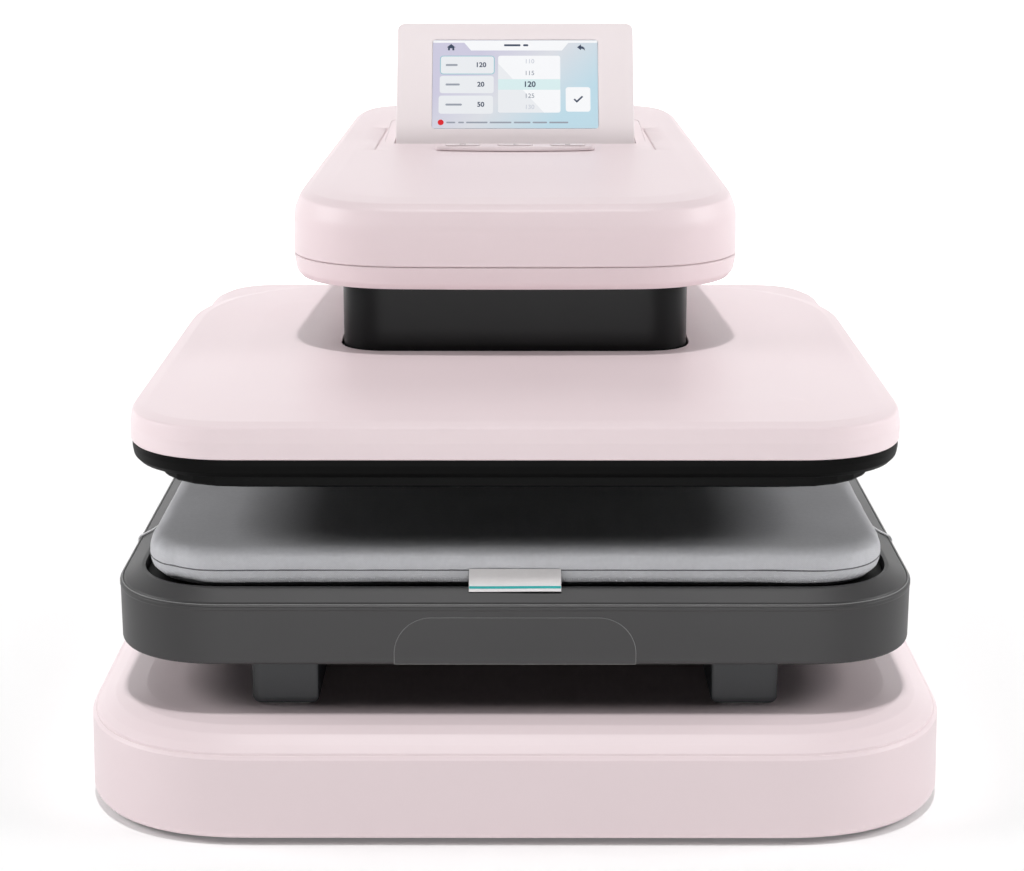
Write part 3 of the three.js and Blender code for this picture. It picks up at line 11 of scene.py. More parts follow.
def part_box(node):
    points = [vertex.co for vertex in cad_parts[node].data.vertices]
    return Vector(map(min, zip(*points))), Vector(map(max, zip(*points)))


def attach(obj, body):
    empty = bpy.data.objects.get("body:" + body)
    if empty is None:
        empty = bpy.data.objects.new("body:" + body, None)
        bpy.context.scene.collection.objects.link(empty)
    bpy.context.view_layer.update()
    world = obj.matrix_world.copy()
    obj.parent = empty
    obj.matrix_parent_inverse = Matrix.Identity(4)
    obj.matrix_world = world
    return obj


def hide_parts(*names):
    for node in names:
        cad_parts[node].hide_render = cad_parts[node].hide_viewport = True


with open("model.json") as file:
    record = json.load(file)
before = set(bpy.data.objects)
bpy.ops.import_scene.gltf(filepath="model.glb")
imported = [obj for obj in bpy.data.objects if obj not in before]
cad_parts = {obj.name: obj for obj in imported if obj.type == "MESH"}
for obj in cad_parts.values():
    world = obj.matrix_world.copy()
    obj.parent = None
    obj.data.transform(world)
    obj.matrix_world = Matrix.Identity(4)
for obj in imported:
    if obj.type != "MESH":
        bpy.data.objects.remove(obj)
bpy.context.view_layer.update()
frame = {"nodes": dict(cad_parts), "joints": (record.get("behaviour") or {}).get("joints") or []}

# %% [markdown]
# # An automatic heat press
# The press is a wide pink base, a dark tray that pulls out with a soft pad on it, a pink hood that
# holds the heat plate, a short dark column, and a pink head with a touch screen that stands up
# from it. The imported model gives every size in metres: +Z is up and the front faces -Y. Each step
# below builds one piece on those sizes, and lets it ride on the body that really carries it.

MM = 0.001
HANDS = ("left", "right")

# %% [markdown]
# ## The camera
# The camera comes first, so that every later choice can be judged in the real view. The press was
# seen from straight ahead, a little above its head and with a long lens, which keeps the hood and
# the base nearly as wide as each other. A pitch of 14.7 degrees shows the top faces as thin bands.

# %% Camera
CAMERA_PITCH = 14.708
CAMERA_YAW = 0.0833
product_lens = bpy.data.cameras.new("product_lens")
product_lens.sensor_width = 36
product_lens.lens = 77.34
product_lens.clip_end = 50
camera = bpy.data.objects.new("product_camera", product_lens)
camera.location = (0, -1.338, 0.4922)
camera.rotation_euler = (math.radians(90 - CAMERA_PITCH), 0, math.radians(CAMERA_YAW))
bpy.context.scene.collection.objects.link(camera)
bpy.context.scene.camera = camera
print("camera at", tuple(round(place, 3) for place in camera.location))

# %% [markdown]
# ## Soft-cornered outlines
# Every casing of this press is a rectangle with large, soft corners. A plain arc would look
# hard where it meets the straight side, so each corner is a superellipse: the curve starts slowly
# and is tightest in the middle. One outline, drawn at many insets and heights, gives a whole casing.

# %% Outlines and rings
# A plan is a casing seen from above: half its width, its front and rear, and its corners' sizes.
# Where the outline isn't a plain rectangle, bend is the function that moves each point.
Plan = namedtuple("Plan", "half front rear front_corner rear_corner bend", defaults=[None])
CORNER_STEPS = 18
EDGE_STEPS = 12
CORNER_POWER = 2.3
LEAST_CORNER = 2.5 * MM


def outline(plan, inset):
    """Points round a plan, pulled in by inset; the sides have points too, so that they can bow."""
    half = plan.half - inset
    front = plan.front + inset
    rear = plan.rear - inset
    corners = [
        (1, -1, plan.front_corner),
        (1, 1, plan.rear_corner),
        (-1, 1, plan.rear_corner),
        (-1, -1, plan.front_corner),
    ]
    arcs = []
    for index, (side, end, size) in enumerate(corners):
        corner = max(size - inset, LEAST_CORNER)
        centre = Vector((side * (half - corner), front + corner if end < 0 else rear - corner))
        arc = []
        for step in range(CORNER_STEPS + 1):
            angle = (index - 1 + step / CORNER_STEPS) * math.pi / 2
            along = abs(math.cos(angle)) ** (2 / CORNER_POWER)
            across = abs(math.sin(angle)) ** (2 / CORNER_POWER)
            arc.append(centre + Vector((side * corner * along, end * corner * across)))
        arcs.append(arc)
    points = []
    for index, arc in enumerate(arcs):
        points += arc
        following = arcs[(index + 1) % len(arcs)][0]
        points += [arc[-1].lerp(following, step / EDGE_STEPS) for step in range(1, EDGE_STEPS)]
    return [plan.bend(point) for point in points] if plan.bend else points


def ring(plan, inset, height, slope=0.0):
    """One loop of a casing, at a height that may rise towards the rear."""
    return [Vector((p.x, p.y, height + slope * (p.y - plan.front))) for p in outline(plan, inset)]


# %% [markdown]
# ## Rounded profiles
# A moulded casing has no sharp edge: each crease of its side profile is a small round, and the
# round is what catches the light as a thin bright line. The profile is written as a few corner
# points of inset and height, each with its radius, and this step replaces every corner by an arc.

# %% Profiles with rounded corners
ARC_STEPS = 6


def rounded(points):
    """(inset, height, radius) corners become a dense (inset, height) line with arcs at the corners."""
    line = [Vector(points[0][:2])]
    for before, corner, after in zip(points, points[1:], points[2:]):
        here = Vector(corner[:2])
        to_last = Vector(before[:2]) - here
        to_next = Vector(after[:2]) - here
        turn = math.pi - to_last.angle(to_next)
        if corner[2] <= 0 or turn < 0.01:
            line.append(here)
            continue
        cut = min(corner[2] * math.tan(turn / 2), to_last.length * 0.49, to_next.length * 0.49)
        start = here + to_last.normalized() * cut
        end = here + to_next.normalized() * cut
        for step in range(ARC_STEPS + 1):
            share = step / ARC_STEPS
            line.append(start.lerp(here, share).lerp(here.lerp(end, share), share))
    line.append(Vector(points[-1][:2]))
    return line


def profile(level, *corners):
    """Corners of inset, rise above a level and radius: millimetres in, metres out."""
    return [(inset * MM, level + rise * MM, radius * MM) for inset, rise, radius in corners]


def casing_rings(plan, points, slope=0.0):
    return [ring(plan, inset, height, slope) for inset, height in rounded(points)]


# %% [markdown]
# ## Skins
# A stack of loops becomes a surface when each loop is joined to the next. A skin is either capped
# at both ends, like a block, or joined back to its first loop, like a tube with a wall. Faces are
# shaded smooth up to a set angle, and normals are weighted by face area, so flats stay flat.

# %% Skins and pieces
def link_mesh(name, mesh):
    piece = bpy.data.objects.new(name, mesh)
    bpy.context.scene.collection.objects.link(piece)
    return piece


def smooth(piece, degrees=32):
    """Smooth shading, with edges sharper than this kept crisp."""
    piece.data.shade_smooth()
    piece.data.set_sharp_from_angle(angle=math.radians(degrees))
    weighted = piece.modifiers.new("weighted_normals", "WEIGHTED_NORMAL")
    weighted.keep_sharp = True
    return piece


def finished(name, bm, place=None):
    """Turns all faces outwards, moves the mesh to its place and links it as a piece."""
    bmesh.ops.recalc_face_normals(bm, faces=bm.faces)
    if place:
        bm.transform(place)
    mesh = bpy.data.meshes.new(name)
    bm.to_mesh(mesh)
    bm.free()
    return link_mesh(name, mesh)


def skin(name, rings, tube=False, place=None, degrees=32):
    """Joins loops of equal length into a closed surface: capped at both ends, or a tube with a wall."""
    bm = bmesh.new()
    loops = [[bm.verts.new(point) for point in loop] for loop in rings]
    count = len(loops[0])
    pairs = list(zip(loops, loops[1:]))
    if tube:
        pairs.append((loops[-1], loops[0]))
    for low, high in pairs:
        for i in range(count):
            j = (i + 1) % count
            bm.faces.new((low[i], low[j], high[j], high[i]))
    if not tube:
        bm.faces.new(loops[0][::-1])
        bm.faces.new(loops[-1])
    return smooth(finished(name, bm, place), degrees)


def dress(piece, body, slot_name, material, *nodes):
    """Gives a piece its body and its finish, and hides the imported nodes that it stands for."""
    piece.data.materials.clear()
    piece.data.materials.append(material)
    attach(piece, body)
    if nodes:
        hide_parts(*nodes)
    return piece


def plan_of(node, front_corner, rear_corner, bend=None):
    low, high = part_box(node)
    return Plan(high.x, low.y, high.y, front_corner, rear_corner, bend)


# %% [markdown]
# ## Surface grain
# Moulded plastic is never quite even. Under a soft light it shows a very fine texture, and its
# gloss drifts a little where the mould was polished by hand. One node group makes both from noise
# in real metres: a fine height for the bump, and a slow drift for tone and gloss.

# %% Node helpers
def node(tree, kind, **settings):
    made = tree.nodes.new(kind)
    for name, value in settings.items():
        setattr(made, name, value)
    return made


def feed(tree, value, target):
    """Sets an input to a plain value, or links a socket to it."""
    if isinstance(value, bpy.types.NodeSocket):
        tree.links.new(value, target)
    else:
        target.default_value = value


def maths(tree, operation, first, second):
    """A Math node whose inputs are sockets or plain numbers."""
    made = node(tree, "ShaderNodeMath", operation=operation)
    feed(tree, first, made.inputs[0])
    feed(tree, second, made.inputs[1])
    return made.outputs[0]


def tinted(tree, colour, share):
    """A colour times a number; both may be sockets or plain values."""
    made = node(tree, "ShaderNodeVectorMath", operation="SCALE")
    feed(tree, colour, made.inputs[0])
    feed(tree, share, made.inputs["Scale"])
    return made.outputs[0]


def noise_at(tree, scale, detail, coordinates):
    made = node(tree, "ShaderNodeTexNoise")
    made.inputs["Detail"].default_value = detail
    feed(tree, scale, made.inputs["Scale"])
    tree.links.new(coordinates, made.inputs["Vector"])
    return made.outputs[0]


def new_group(name, inputs, outputs):
    """A node group with named number sockets: the tree, what comes in, and what goes out."""
    tree = bpy.data.node_groups.new(name, "ShaderNodeTree")
    for title, value in inputs.items():
        made = tree.interface.new_socket(title, in_out="INPUT", socket_type="NodeSocketFloat")
        made.default_value = value
    for title in outputs:
        tree.interface.new_socket(title, in_out="OUTPUT", socket_type="NodeSocketFloat")
    return tree, node(tree, "NodeGroupInput").outputs, node(tree, "NodeGroupOutput").inputs


def grouped(tree, group, values):
    """Puts a node group into a material, with its inputs set by name."""
    made = node(tree, "ShaderNodeGroup", node_tree=group)
    for title, value in values.items():
        made.inputs[title].default_value = value
    return made.outputs

# %% Grain group
grain, grain_in, grain_out = new_group("surface_grain", {
    "Grain Scale": 2400,
    "Drift Scale": 9,
    "Tone Spread": 0.02,
    "Gloss": 0.4,
    "Gloss Spread": 0.05,
}, ("Tone", "Roughness", "Height"))
grain_place = node(grain, "ShaderNodeTexCoord").outputs["Object"]
fine = noise_at(grain, grain_in["Grain Scale"], 2, grain_place)
drift = noise_at(grain, grain_in["Drift Scale"], 3, grain_place)
centred = maths(grain, "SUBTRACT", drift, 0.5)
tone = maths(grain, "ADD", maths(grain, "MULTIPLY", centred, grain_in["Tone Spread"]), 1)
speck = maths(grain, "MULTIPLY", maths(grain, "SUBTRACT", fine, 0.5), grain_in["Tone Spread"])
gloss = maths(grain, "MULTIPLY", centred, grain_in["Gloss Spread"])
grain.links.new(maths(grain, "ADD", tone, speck), grain_out["Tone"])
grain.links.new(maths(grain, "ADD", gloss, grain_in["Gloss"]), grain_out["Roughness"])
grain.links.new(fine, grain_out["Height"])
print("grain group has", len(grain.nodes), "nodes")

# %% [markdown]
# ## Painted edge highlight and groove shade
# The Pointiness of the geometry tells ridges from grooves, so one small group turns it into a tone
# that lifts at the ridges and sinks in the grooves: a painted highlight on the edges and painted
# shade in the grooves. It is kept very weak on most finishes.

# %% Edge group
edges, edges_in, edges_out = new_group("edge_highlight_and_shade", {"Strength": 0.2}, ("Tone",))
pointed = maths(edges, "SUBTRACT", node(edges, "ShaderNodeNewGeometry").outputs["Pointiness"], 0.5)
lift = maths(edges, "MULTIPLY", pointed, edges_in["Strength"])
edges.links.new(maths(edges, "ADD", lift, 1), edges_out["Tone"])
print("edge group has", len(edges.nodes), "nodes")

# %% Finish maker
def new_material(name, **values):
    """A material, its tree and its shader, with the shader's constants set by name."""
    material = bpy.data.materials.new(name)
    material.use_nodes = True
    shader = material.node_tree.nodes["Principled BSDF"]
    for title, value in values.items():
        shader.inputs[title.replace("_", " ")].default_value = value
    return material, material.node_tree, shader.inputs


def bump(tree, height, depth, target):
    """Lifts the surface by a height of so many millimetres."""
    made = node(tree, "ShaderNodeBump")
    made.inputs["Distance"].default_value = depth * MM
    made.inputs["Strength"].default_value = 1
    tree.links.new(height, made.inputs["Height"])
    tree.links.new(made.outputs[0], target)


def finish(name, colour, roughness, metallic=0.0, scale=2400, depth=0.02, spread=0.03, edge=0.3,
           gloss_level=0.5):
    """A plain material of one colour, with the grain group for tone, gloss and bump, and the edge group's
    painted highlight and shade.
    """
    material, tree, shader = new_material(name, Metallic=metallic, Specular_IOR_Level=gloss_level)
    surface = grouped(tree, grain, {
        "Grain Scale": scale,
        "Tone Spread": spread,
        "Gloss": roughness,
        "Gloss Spread": roughness * 0.3,
    })
    # The edge group paints a highlight on ridges and shade in grooves.
    edge_light_and_shade = grouped(tree, edges, {"Strength": edge})
    shade = maths(tree, "MULTIPLY", surface["Tone"], edge_light_and_shade["Tone"])
    tree.links.new(tinted(tree, colour, shade), shader["Base Color"])
    tree.links.new(surface["Roughness"], shader["Roughness"])
    bump(tree, surface["Height"], depth, shader["Normal"])
    return material

# %% [markdown]
# ## Plastics and metals
# The casing is a satin pink, close to white in the light. The tray is a dark grey plastic with a
# coarser texture that hides scratches. Metal parts only show when the press is opened, but each
# still gets its own colour and gloss, since a drawer that slides out shows its rails.

# %% Hard finishes
PINK = dict(roughness=0.4, scale=2600, depth=0.006, spread=0.012, edge=0.15, gloss_level=0.3)
DARK = dict(roughness=0.5, scale=1500, depth=0.03, spread=0.1)
METAL = dict(metallic=1, scale=900)
pink = finish("pink_casing", (0.80, 0.675, 0.698), **PINK)
# The same pink plastic as the casing, painted lighter: this copy paints in the extra light that the
# screen's tilted face shows.
screen_pink_painted_lighter = finish("screen_casing", (0.885, 0.809, 0.819), **PINK)
key_pink = finish("key_pink", (0.83, 0.72, 0.74), 0.34, scale=2600, depth=0.004, spread=0.01)
# edge=0.8 paints a stronger highlight on the tray's edges.
tray_grey = finish("tray_plastic", (0.028, 0.027, 0.028), **(DARK | dict(roughness=0.48, edge=0.8)))
# A paler grey of the tray plastic, for the crease bead and the pull panel's bevel: a painted highlight.
tray_painted_highlight = finish("tray_painted_highlight", (0.17, 0.17, 0.17), 0.45, scale=1500, depth=0.01, spread=0.08)
runner_slate = finish("runner_plastic", (0.014, 0.0155, 0.018), **DARK)
black_plastic = finish("black_plastic", (0.011, 0.011, 0.012),
                       **(DARK | dict(roughness=0.45, depth=0.02)))
column_grey = finish("column_plastic", (0.006, 0.0069, 0.0072), 0.36, scale=1800, depth=0.012,
                     spread=0.06, gloss_level=0.15)
skirt_black = finish("skirt_plastic", (0.002, 0.002, 0.002), 0.5, scale=1600, spread=0.08,
                     gloss_level=0.07)
rubber = finish("foot_rubber", (0.02, 0.02, 0.02), 0.8, scale=900, depth=0.05, spread=0.15)
steel = finish("plain_steel", (0.42, 0.43, 0.44), 0.36, metallic=1, scale=600, depth=0.01, spread=0.15)
bright_steel = finish("plated_steel", (0.62, 0.63, 0.64), 0.22, depth=0.004, spread=0.08, **METAL)
brass = finish("machined_brass", (0.6, 0.42, 0.17), 0.3, depth=0.006, spread=0.1, **METAL)
plate_coat = finish("plate_coating", (0.0035, 0.0035, 0.0035), 0.55, scale=900, spread=0.2,
                    gloss_level=0.08)
mica = finish("heater_mica", (0.42, 0.31, 0.15), 0.6, scale=500, depth=0.03, spread=0.3)
fibre = finish("fibre_board", (0.72, 0.69, 0.62), 0.95, scale=700, depth=0.1, spread=0.15)
board_green = finish("board_green", (0.02, 0.12, 0.05), 0.4, scale=700, depth=0.01, spread=0.1)
print("hard finishes:", len(bpy.data.materials))

# %% [markdown]
# ## Woven cloth
# The pad's cover is a close plain weave: warp and weft threads pass over and under each other.
# Two sets of waves at right angles, multiplied together, give that small chequered relief. A slow
# noise makes some threads darker than others, which is what makes the grey look like cloth.

# %% Weave group
weave, weave_in, weave_out = new_group(
    "plain_weave", {"Thread Scale": 1300, "Thread Contrast": 0.2}, ("Tone", "Height"))
weave_place = node(weave, "ShaderNodeTexCoord").outputs["Object"]
weave_axes = node(weave, "ShaderNodeSeparateXYZ")
weave.links.new(weave_place, weave_axes.inputs[0])


def wave(axis):
    return maths(weave, "SINE", maths(weave, "MULTIPLY", axis, weave_in["Thread Scale"]), 0)


warp = wave(weave_axes.outputs["X"])
weft = wave(maths(weave, "ADD", weave_axes.outputs["Y"], weave_axes.outputs["Z"]))
crossing = maths(weave, "MULTIPLY", warp, weft)
yarn = noise_at(weave, 420, 3, weave_place)
cloud = noise_at(weave, 26, 4, weave_place)
mottle = maths(weave, "ADD", maths(weave, "SUBTRACT", yarn, 0.5), maths(weave, "SUBTRACT", cloud, 0.5))
threads = maths(weave, "ADD", maths(weave, "MULTIPLY", crossing, 0.25), mottle)
contrast = maths(weave, "MULTIPLY", threads, weave_in["Thread Contrast"])
weave.links.new(maths(weave, "ADD", contrast, 1), weave_out["Tone"])
weave.links.new(maths(weave, "ADD", crossing, mottle), weave_out["Height"])
print("weave group has", len(weave.nodes), "nodes")

# %% Cloth maker
def cloth_finish(name, colour, thread_scale, contrast, depth, sheen=0.2):
    """A woven material: the weave group shades its threads and lifts them."""
    material, tree, shader = new_material(name, Roughness=0.9, Sheen_Weight=sheen, Sheen_Roughness=0.5)
    woven = grouped(tree, weave, {"Thread Scale": thread_scale, "Thread Contrast": contrast})
    tree.links.new(tinted(tree, colour, woven["Tone"]), shader["Base Color"])
    bump(tree, woven["Height"], depth, shader["Normal"])
    return material


pad_cloth = cloth_finish("pad_cloth", (0.55, 0.55, 0.575), 5200, 0.16, 0.05)
seam_cloth = cloth_finish("seam_cloth", (0.13, 0.13, 0.137), 5200, 0.3, 0.05)
tag_tape = cloth_finish("tag_tape", (0.83, 0.80, 0.80), 9000, 0.06, 0.02, sheen=0.05)
tag_stripe = cloth_finish("tag_stripe", (0.03, 0.42, 0.42), 9000, 0.15, 0.02, sheen=0.05)
elastic_braid = cloth_finish("elastic_braid", (0.80, 0.80, 0.81), 6000, 0.3, 0.05)
print("cloths: pad, seam, tag, stripe, elastic")

# %% [markdown]
# ## Base casing
# The base is a broad, shallow moulding that stands on four rubber feet. Its side is nearly
# upright, then breaks twice: at a crease and again at the top's edge. The two bright lines that
# run round it come from those rounds. It is open below, so the skin turns in at its foot.

# %% Base casing
base_low, base_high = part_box("base_shell")
base_plan = plan_of("base_shell", 95 * MM, 95 * MM)
base_inside = profile(base_high.z, (30, -3, 0), (15, -8, 3), (4, -16, 3))
base_foot = profile(base_low.z, (5.6, 0, 0.5), (2.2, 0, 1.2), (0, 3, 2))
base_groove = profile(base_high.z, (1, -12.8, 0.9), (2.5, -11.3, 0.3), (3.4, -11.2, 0.3), (3.7, -10, 0.9))
base_top = profile(base_high.z, (7.6, -7, 3), (13.5, -3.4, 5), (20, -0.9, 6), (30, 0, 9), (60, 0, 0))
base = skin("base_casing", casing_rings(base_plan, base_inside + base_foot + base_groove + base_top))
dress(base, "frame", "pink_plastic", pink, "base_shell")
print("base casing:", len(base.data.polygons), "faces")

# %% [markdown]
# ## Tray
# The tray's front is one tall dark face, with a crease near the top and a flat rim that slopes
# gently inwards. A lip inside the rim holds the platen. Its underside has a channel behind the
# front wall, where fingers reach up to pull. All of that is one profile, taken from below to top.

# %% Tray
tray_low, tray_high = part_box("tray_shell")
tray_plan = plan_of("tray_shell", 62 * MM, 62 * MM)
platen_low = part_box("lower_platen")[0]
RIM_WIDTH = 14 * MM
tray_under = profile(tray_low.z, (44, 0, 0), (20, 0, 0.8))
tray_channel = profile(platen_low.z, (20, -4.3, 1), (4, -4.3, 1))
tray_foot = profile(tray_low.z, (4, 0, 0.6), (0.25, 0, 3.2))
tray_crease = profile(tray_high.z, (0.25, -9, 0.3), (0, -8.4, 0.2), (0, -6.9, 0.9), (1.4, -5.8, 0.4))
tray_rim = profile(tray_high.z, (1.9, -6, 0.2), (2.8, -5, 0.4), (11.8, -0.1, 2), (14, 0, 0.5))
tray_lip = profile(platen_low.z, (14.4, -0.3, 0.5), (20, -0.3, 0))
tray = skin("tray", casing_rings(
    tray_plan, tray_under + tray_channel + tray_foot + tray_crease + tray_rim + tray_lip))
dress(tray, "drawer", "dark_plastic", tray_grey, "tray_shell")
print("tray:", len(tray.data.polygons), "faces, rim at", round(tray_high.z, 4), "m")

# %% [markdown]
# ## Pull panel
# A panel with two rounded upper corners covers the pull recess in the tray's front. It stands a
# quarter of a millimetre proud, and its fine bevel gets three segments and a paler grey of its
# own: a painted highlight along the panel's edge.

# %% Pull panel
pull_low, pull_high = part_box("tray_pull")
PULL_STEPS = 24
PULL_CORNER = 20 * MM


def pull_outline():
    """The panel's outline in X and Z, from its lower left corner round to the lower right."""
    half = pull_high.x
    points = [Vector((-half, pull_low.z)), Vector((half, pull_low.z))]
    for centre, start in ((half - PULL_CORNER, 0), (PULL_CORNER - half, 90)):
        for step in range(PULL_STEPS + 1):
            angle = math.radians(start + 90 * step / PULL_STEPS)
            arc = Vector((math.cos(angle), math.sin(angle))) * PULL_CORNER
            points.append(Vector((centre, pull_high.z - PULL_CORNER)) + arc)
    return points


pull_ends = (pull_high.y, tray_low.y)
pull = skin("pull_panel", [[Vector((p.x, y, p.y)) for p in pull_outline()] for y in pull_ends])
pull_bevel = pull.modifiers.new("edge", "BEVEL")
pull_bevel.width = 0.4 * MM
# The bevel takes the paler grey: a painted highlight round the panel.
pull_bevel.material = 1
pull_bevel.segments = 3
pull.modifiers.move(len(pull.modifiers) - 1, 0)
dress(pull, "drawer", "dark_plastic", tray_grey, "tray_pull")
pull.data.materials.append(tray_painted_highlight)
print("pull panel:", len(pull.data.vertices), "points")

# %% [markdown]
# ## Crease highlight
# A fine bright line runs right round the tray below its rim. It is a painted highlight: a thin
# round bead of paler grey, drawn as a tube along one loop of the tray's outline. The same helper
# draws the pad's welt and the elastics later, so it also makes tubes with two ends.

# %% Crease
def tube(name, path, radius, sides, closed=False):
    """A round tube along a list of points."""
    loops = []
    count = len(path)
    for index, point in enumerate(path):
        before = path[index - 1] if index or closed else path[index]
        after = path[(index + 1) % count] if index + 1 < count or closed else path[index]
        forward = (after - before).normalized()
        side = forward.cross(Vector((0, 0, 1)))
        side = Vector((0, 1, 0)) if side.length < 0.2 else side.normalized()
        up = side.cross(forward).normalized()
        turns = [2 * math.pi * step / sides for step in range(sides)]
        loops.append([point + (side * math.cos(turn) + up * math.sin(turn)) * radius for turn in turns])
    return skin(name, loops, tube=closed, degrees=50)


# A paler bead below the rim: a painted highlight along the crease.
crease = tube("tray_crease", ring(tray_plan, 1.3 * MM, tray_high.z - 5.9 * MM), 0.32 * MM, 8, closed=True)
dress(crease, "drawer", "dark_plastic", tray_painted_highlight)
print("crease:", len(crease.data.vertices), "points")

# %% [markdown]
# ## Hood
# The hood is a wide, thin shell with a hole in its top for the column. Its side leans in slightly
# before the round at its top edge, and behind, the crown falls away in a larger curve. Its loops
# run up the outside, across the top to the hole, and back along the inside, as a tube with a wall.

# %% Hood
hood_low, hood_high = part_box("hood_shell")
column_low, column_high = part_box("column_sleeve")
hood_plan = plan_of("hood_shell", 62 * MM, 46 * MM)
crown_plan = Plan(hood_plan.half, hood_plan.front, hood_plan.rear - 18 * MM, 62 * MM, 125 * MM)
column_plan = plan_of("column_sleeve", 28 * MM, 28 * MM)
COLUMN_GAP = 1.3 * MM
HOOD_WALL = 3 * MM


def blended_rings(low_plan, high_plan, points):
    """Rings whose plan changes from one to the other as the profile rises."""
    line = rounded(points)
    bottom = min(height for _, height in line)
    top = max(height for _, height in line)
    rings = []
    for inset, height in line:
        share = (height - bottom) / (top - bottom)
        ease = share * share * (3 - 2 * share)
        low = outline(low_plan, inset)
        high = outline(high_plan, inset)
        rings.append([Vector((*a.lerp(b, ease), height)) for a, b in zip(low, high)])
    return rings


hood_side = profile(hood_low.z, (0.8, 0, 0), (0, 0.8, 0.5), (0, 9, 8))
hood_crown = profile(hood_high.z, (1.3, -2.7, 2.2), (9, -1, 8), (48, 0, 30), (70, 0, 0))
hood_hole = [
    ring(column_plan, -COLUMN_GAP - 0.4 * MM, hood_high.z),
    ring(column_plan, -COLUMN_GAP, hood_high.z - 0.4 * MM),
    ring(column_plan, -COLUMN_GAP, hood_high.z - HOOD_WALL),
]
hood_ceiling = profile(hood_high.z, (12, -4.4, 0), (4.5, -7, 3))
hood_lining = profile(hood_low.z, (3, 8, 3), (3, 0, 0))
hood_outside = blended_rings(hood_plan, crown_plan, hood_side + hood_crown)
hood_inside = blended_rings(crown_plan, hood_plan, hood_ceiling + hood_lining)
hood = skin("hood", hood_outside + hood_hole + hood_inside, tube=True)
dress(hood, "press", "pink_plastic", pink, "hood_shell")
print("hood:", len(hood.data.polygons), "faces")

# %% [markdown]
# ## Skirt
# Below the pink hood a black skirt hides the edge of the hot plate. It starts upright under the
# hood and then tucks in twice, so the lower edge sits well inside. It is a ring with a square
# hole, and the plate fills the hole.

# %% Skirt
skirt_low, skirt_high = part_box("hood_skirt")
plate_low, plate_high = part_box("heat_plate")
LAP = 6.5 * MM
bore_plan = Plan(plate_high.x - LAP, plate_low.y + LAP, plate_high.y - LAP, 50 * MM, 50 * MM)
skirt_tuck = profile(skirt_low.z, (12, 0, 0), (8, 0, 0.4), (3.6, 0.7, 1.2), (1.3, 3.2, 2), (0.6, 7.4, 2))
skirt_rings = casing_rings(hood_plan, skirt_tuck + profile(skirt_high.z, (0.6, 0, 0)))
skirt_rings += [ring(bore_plan, 0, skirt_high.z), ring(bore_plan, 0, skirt_low.z)]
skirt = skin("skirt", skirt_rings, tube=True)
dress(skirt, "press", "black_plastic", skirt_black, "hood_skirt")
print("skirt:", len(skirt.data.polygons), "faces")

# %% [markdown]
# ## Column
# The column is a plain rounded tube that moves up and down with the hood, and slides over a
# second tube that hangs from the head. Only its outer corners matter to the eye, so it is a tube
# of two walls with a small round at its top.

# %% Column
column_outside = profile(column_low.z, (2.5, 0, 0), (0, 0, 0)) + profile(column_high.z, (0, 0, 0.6))
column_inside = profile(column_high.z, (2.5, 0, 0.6)) + profile(column_low.z, (2.5, 1, 0))
column = skin("column_tube", casing_rings(column_plan, column_outside + column_inside), tube=True)
dress(column, "press", "column_plastic", column_grey, "column_sleeve")
print("column:", round((column_high.x - column_low.x) * 1000, 1), "mm wide")

# %% [markdown]
# ## Head
# The head is two shells that meet at a fine seam. Seen from above it narrows a little to the rear
# and its front bows forward, and its top rises to the rear. The bend is applied to each point of
# the outline, so the same profile code serves. The upper shell has an opening for the screen well.

# %% Head shape
lower_low, lower_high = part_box("head_lower_shell")
TAPER_START = lower_low.y + 70 * MM
TAPER = 18 * MM
BOW = 6 * MM
HEAD_WALL = 36.5 * MM
HEAD_RISE = 19.1 * MM
SLOPE_REACH = 25 * MM


def head_bend(point):
    """Narrows the head towards its rear and bows its front edge."""
    along = min(1, max(0, (point.y - TAPER_START) / (lower_high.y - TAPER_START)))
    near_front = min(1, max(0, (TAPER_START - point.y) / (TAPER_START - lower_low.y)))
    reach = min(1, abs(point.x) / lower_high.x)
    return Vector((point.x * (1 - TAPER / lower_high.x * along), point.y + BOW * near_front * reach ** 2))


head_plan = Plan(lower_high.x, lower_low.y, lower_high.y, 66 * MM, 48 * MM, head_bend)
seam = lower_high.z
head_top = seam + HEAD_WALL
head_slope = HEAD_RISE / (lower_high.y - lower_low.y)
print("head's top rises", round(math.degrees(math.atan(head_slope)), 2), "degrees to the rear")

# %% Head lower shell
lower_belly = profile(lower_low.z, (60, 0, 0), (4.6, 0, 2.6), (1.4, 3.8, 5))
lower_edge = profile(seam, (0, -1.2, 2), (0, -0.5, 0), (0.5, 0, 0.3), (3, 0, 0))
head_lower = skin("head_lower", casing_rings(head_plan, lower_belly + lower_edge))
dress(head_lower, "frame", "pink_plastic", pink, "head_lower_shell")
print("head's lower shell:", len(head_lower.data.polygons), "faces")

# %% Head upper shell
def sloped(points):
    """Rings that follow the head's rising top, but stay level at the seam."""
    rings = []
    for inset, height in rounded(points):
        rise = head_slope * min(1, max(0, (height - seam) / SLOPE_REACH))
        rings.append(ring(head_plan, inset, height, rise))
    return rings


upper_edge = profile(seam, (3, 0.3, 0), (0.5, 0.3, 0.2), (0, 0.8, 0.3))
upper_crown = profile(head_top, (0.4, -14, 16), (4.4, -4.6, 4), (10, -1.6, 6), (24, -0.3, 20), (50, 0, 0))
head_upper = skin("head_upper", sloped(upper_edge + upper_crown))
hollow_top = profile(head_top, (3.8, -17, 8), (8, -8.4, 4), (14, -5, 6), (44, -3, 0))
head_hollow = skin("head_hollow", sloped(profile(seam, (3, -1, 0)) + hollow_top))
print("head's upper shell:", len(head_upper.data.polygons), "faces before its openings")

# %% [markdown]
# ## Openings in the head
# The upper shell is hollow below, open over the screen's well, and has a narrow slot on each side
# of the screen. Each of these is a block cut out of the shell. The slots are drawn as long ovals
# that splay a little and follow the slope of the top, 2.2 mm deep.

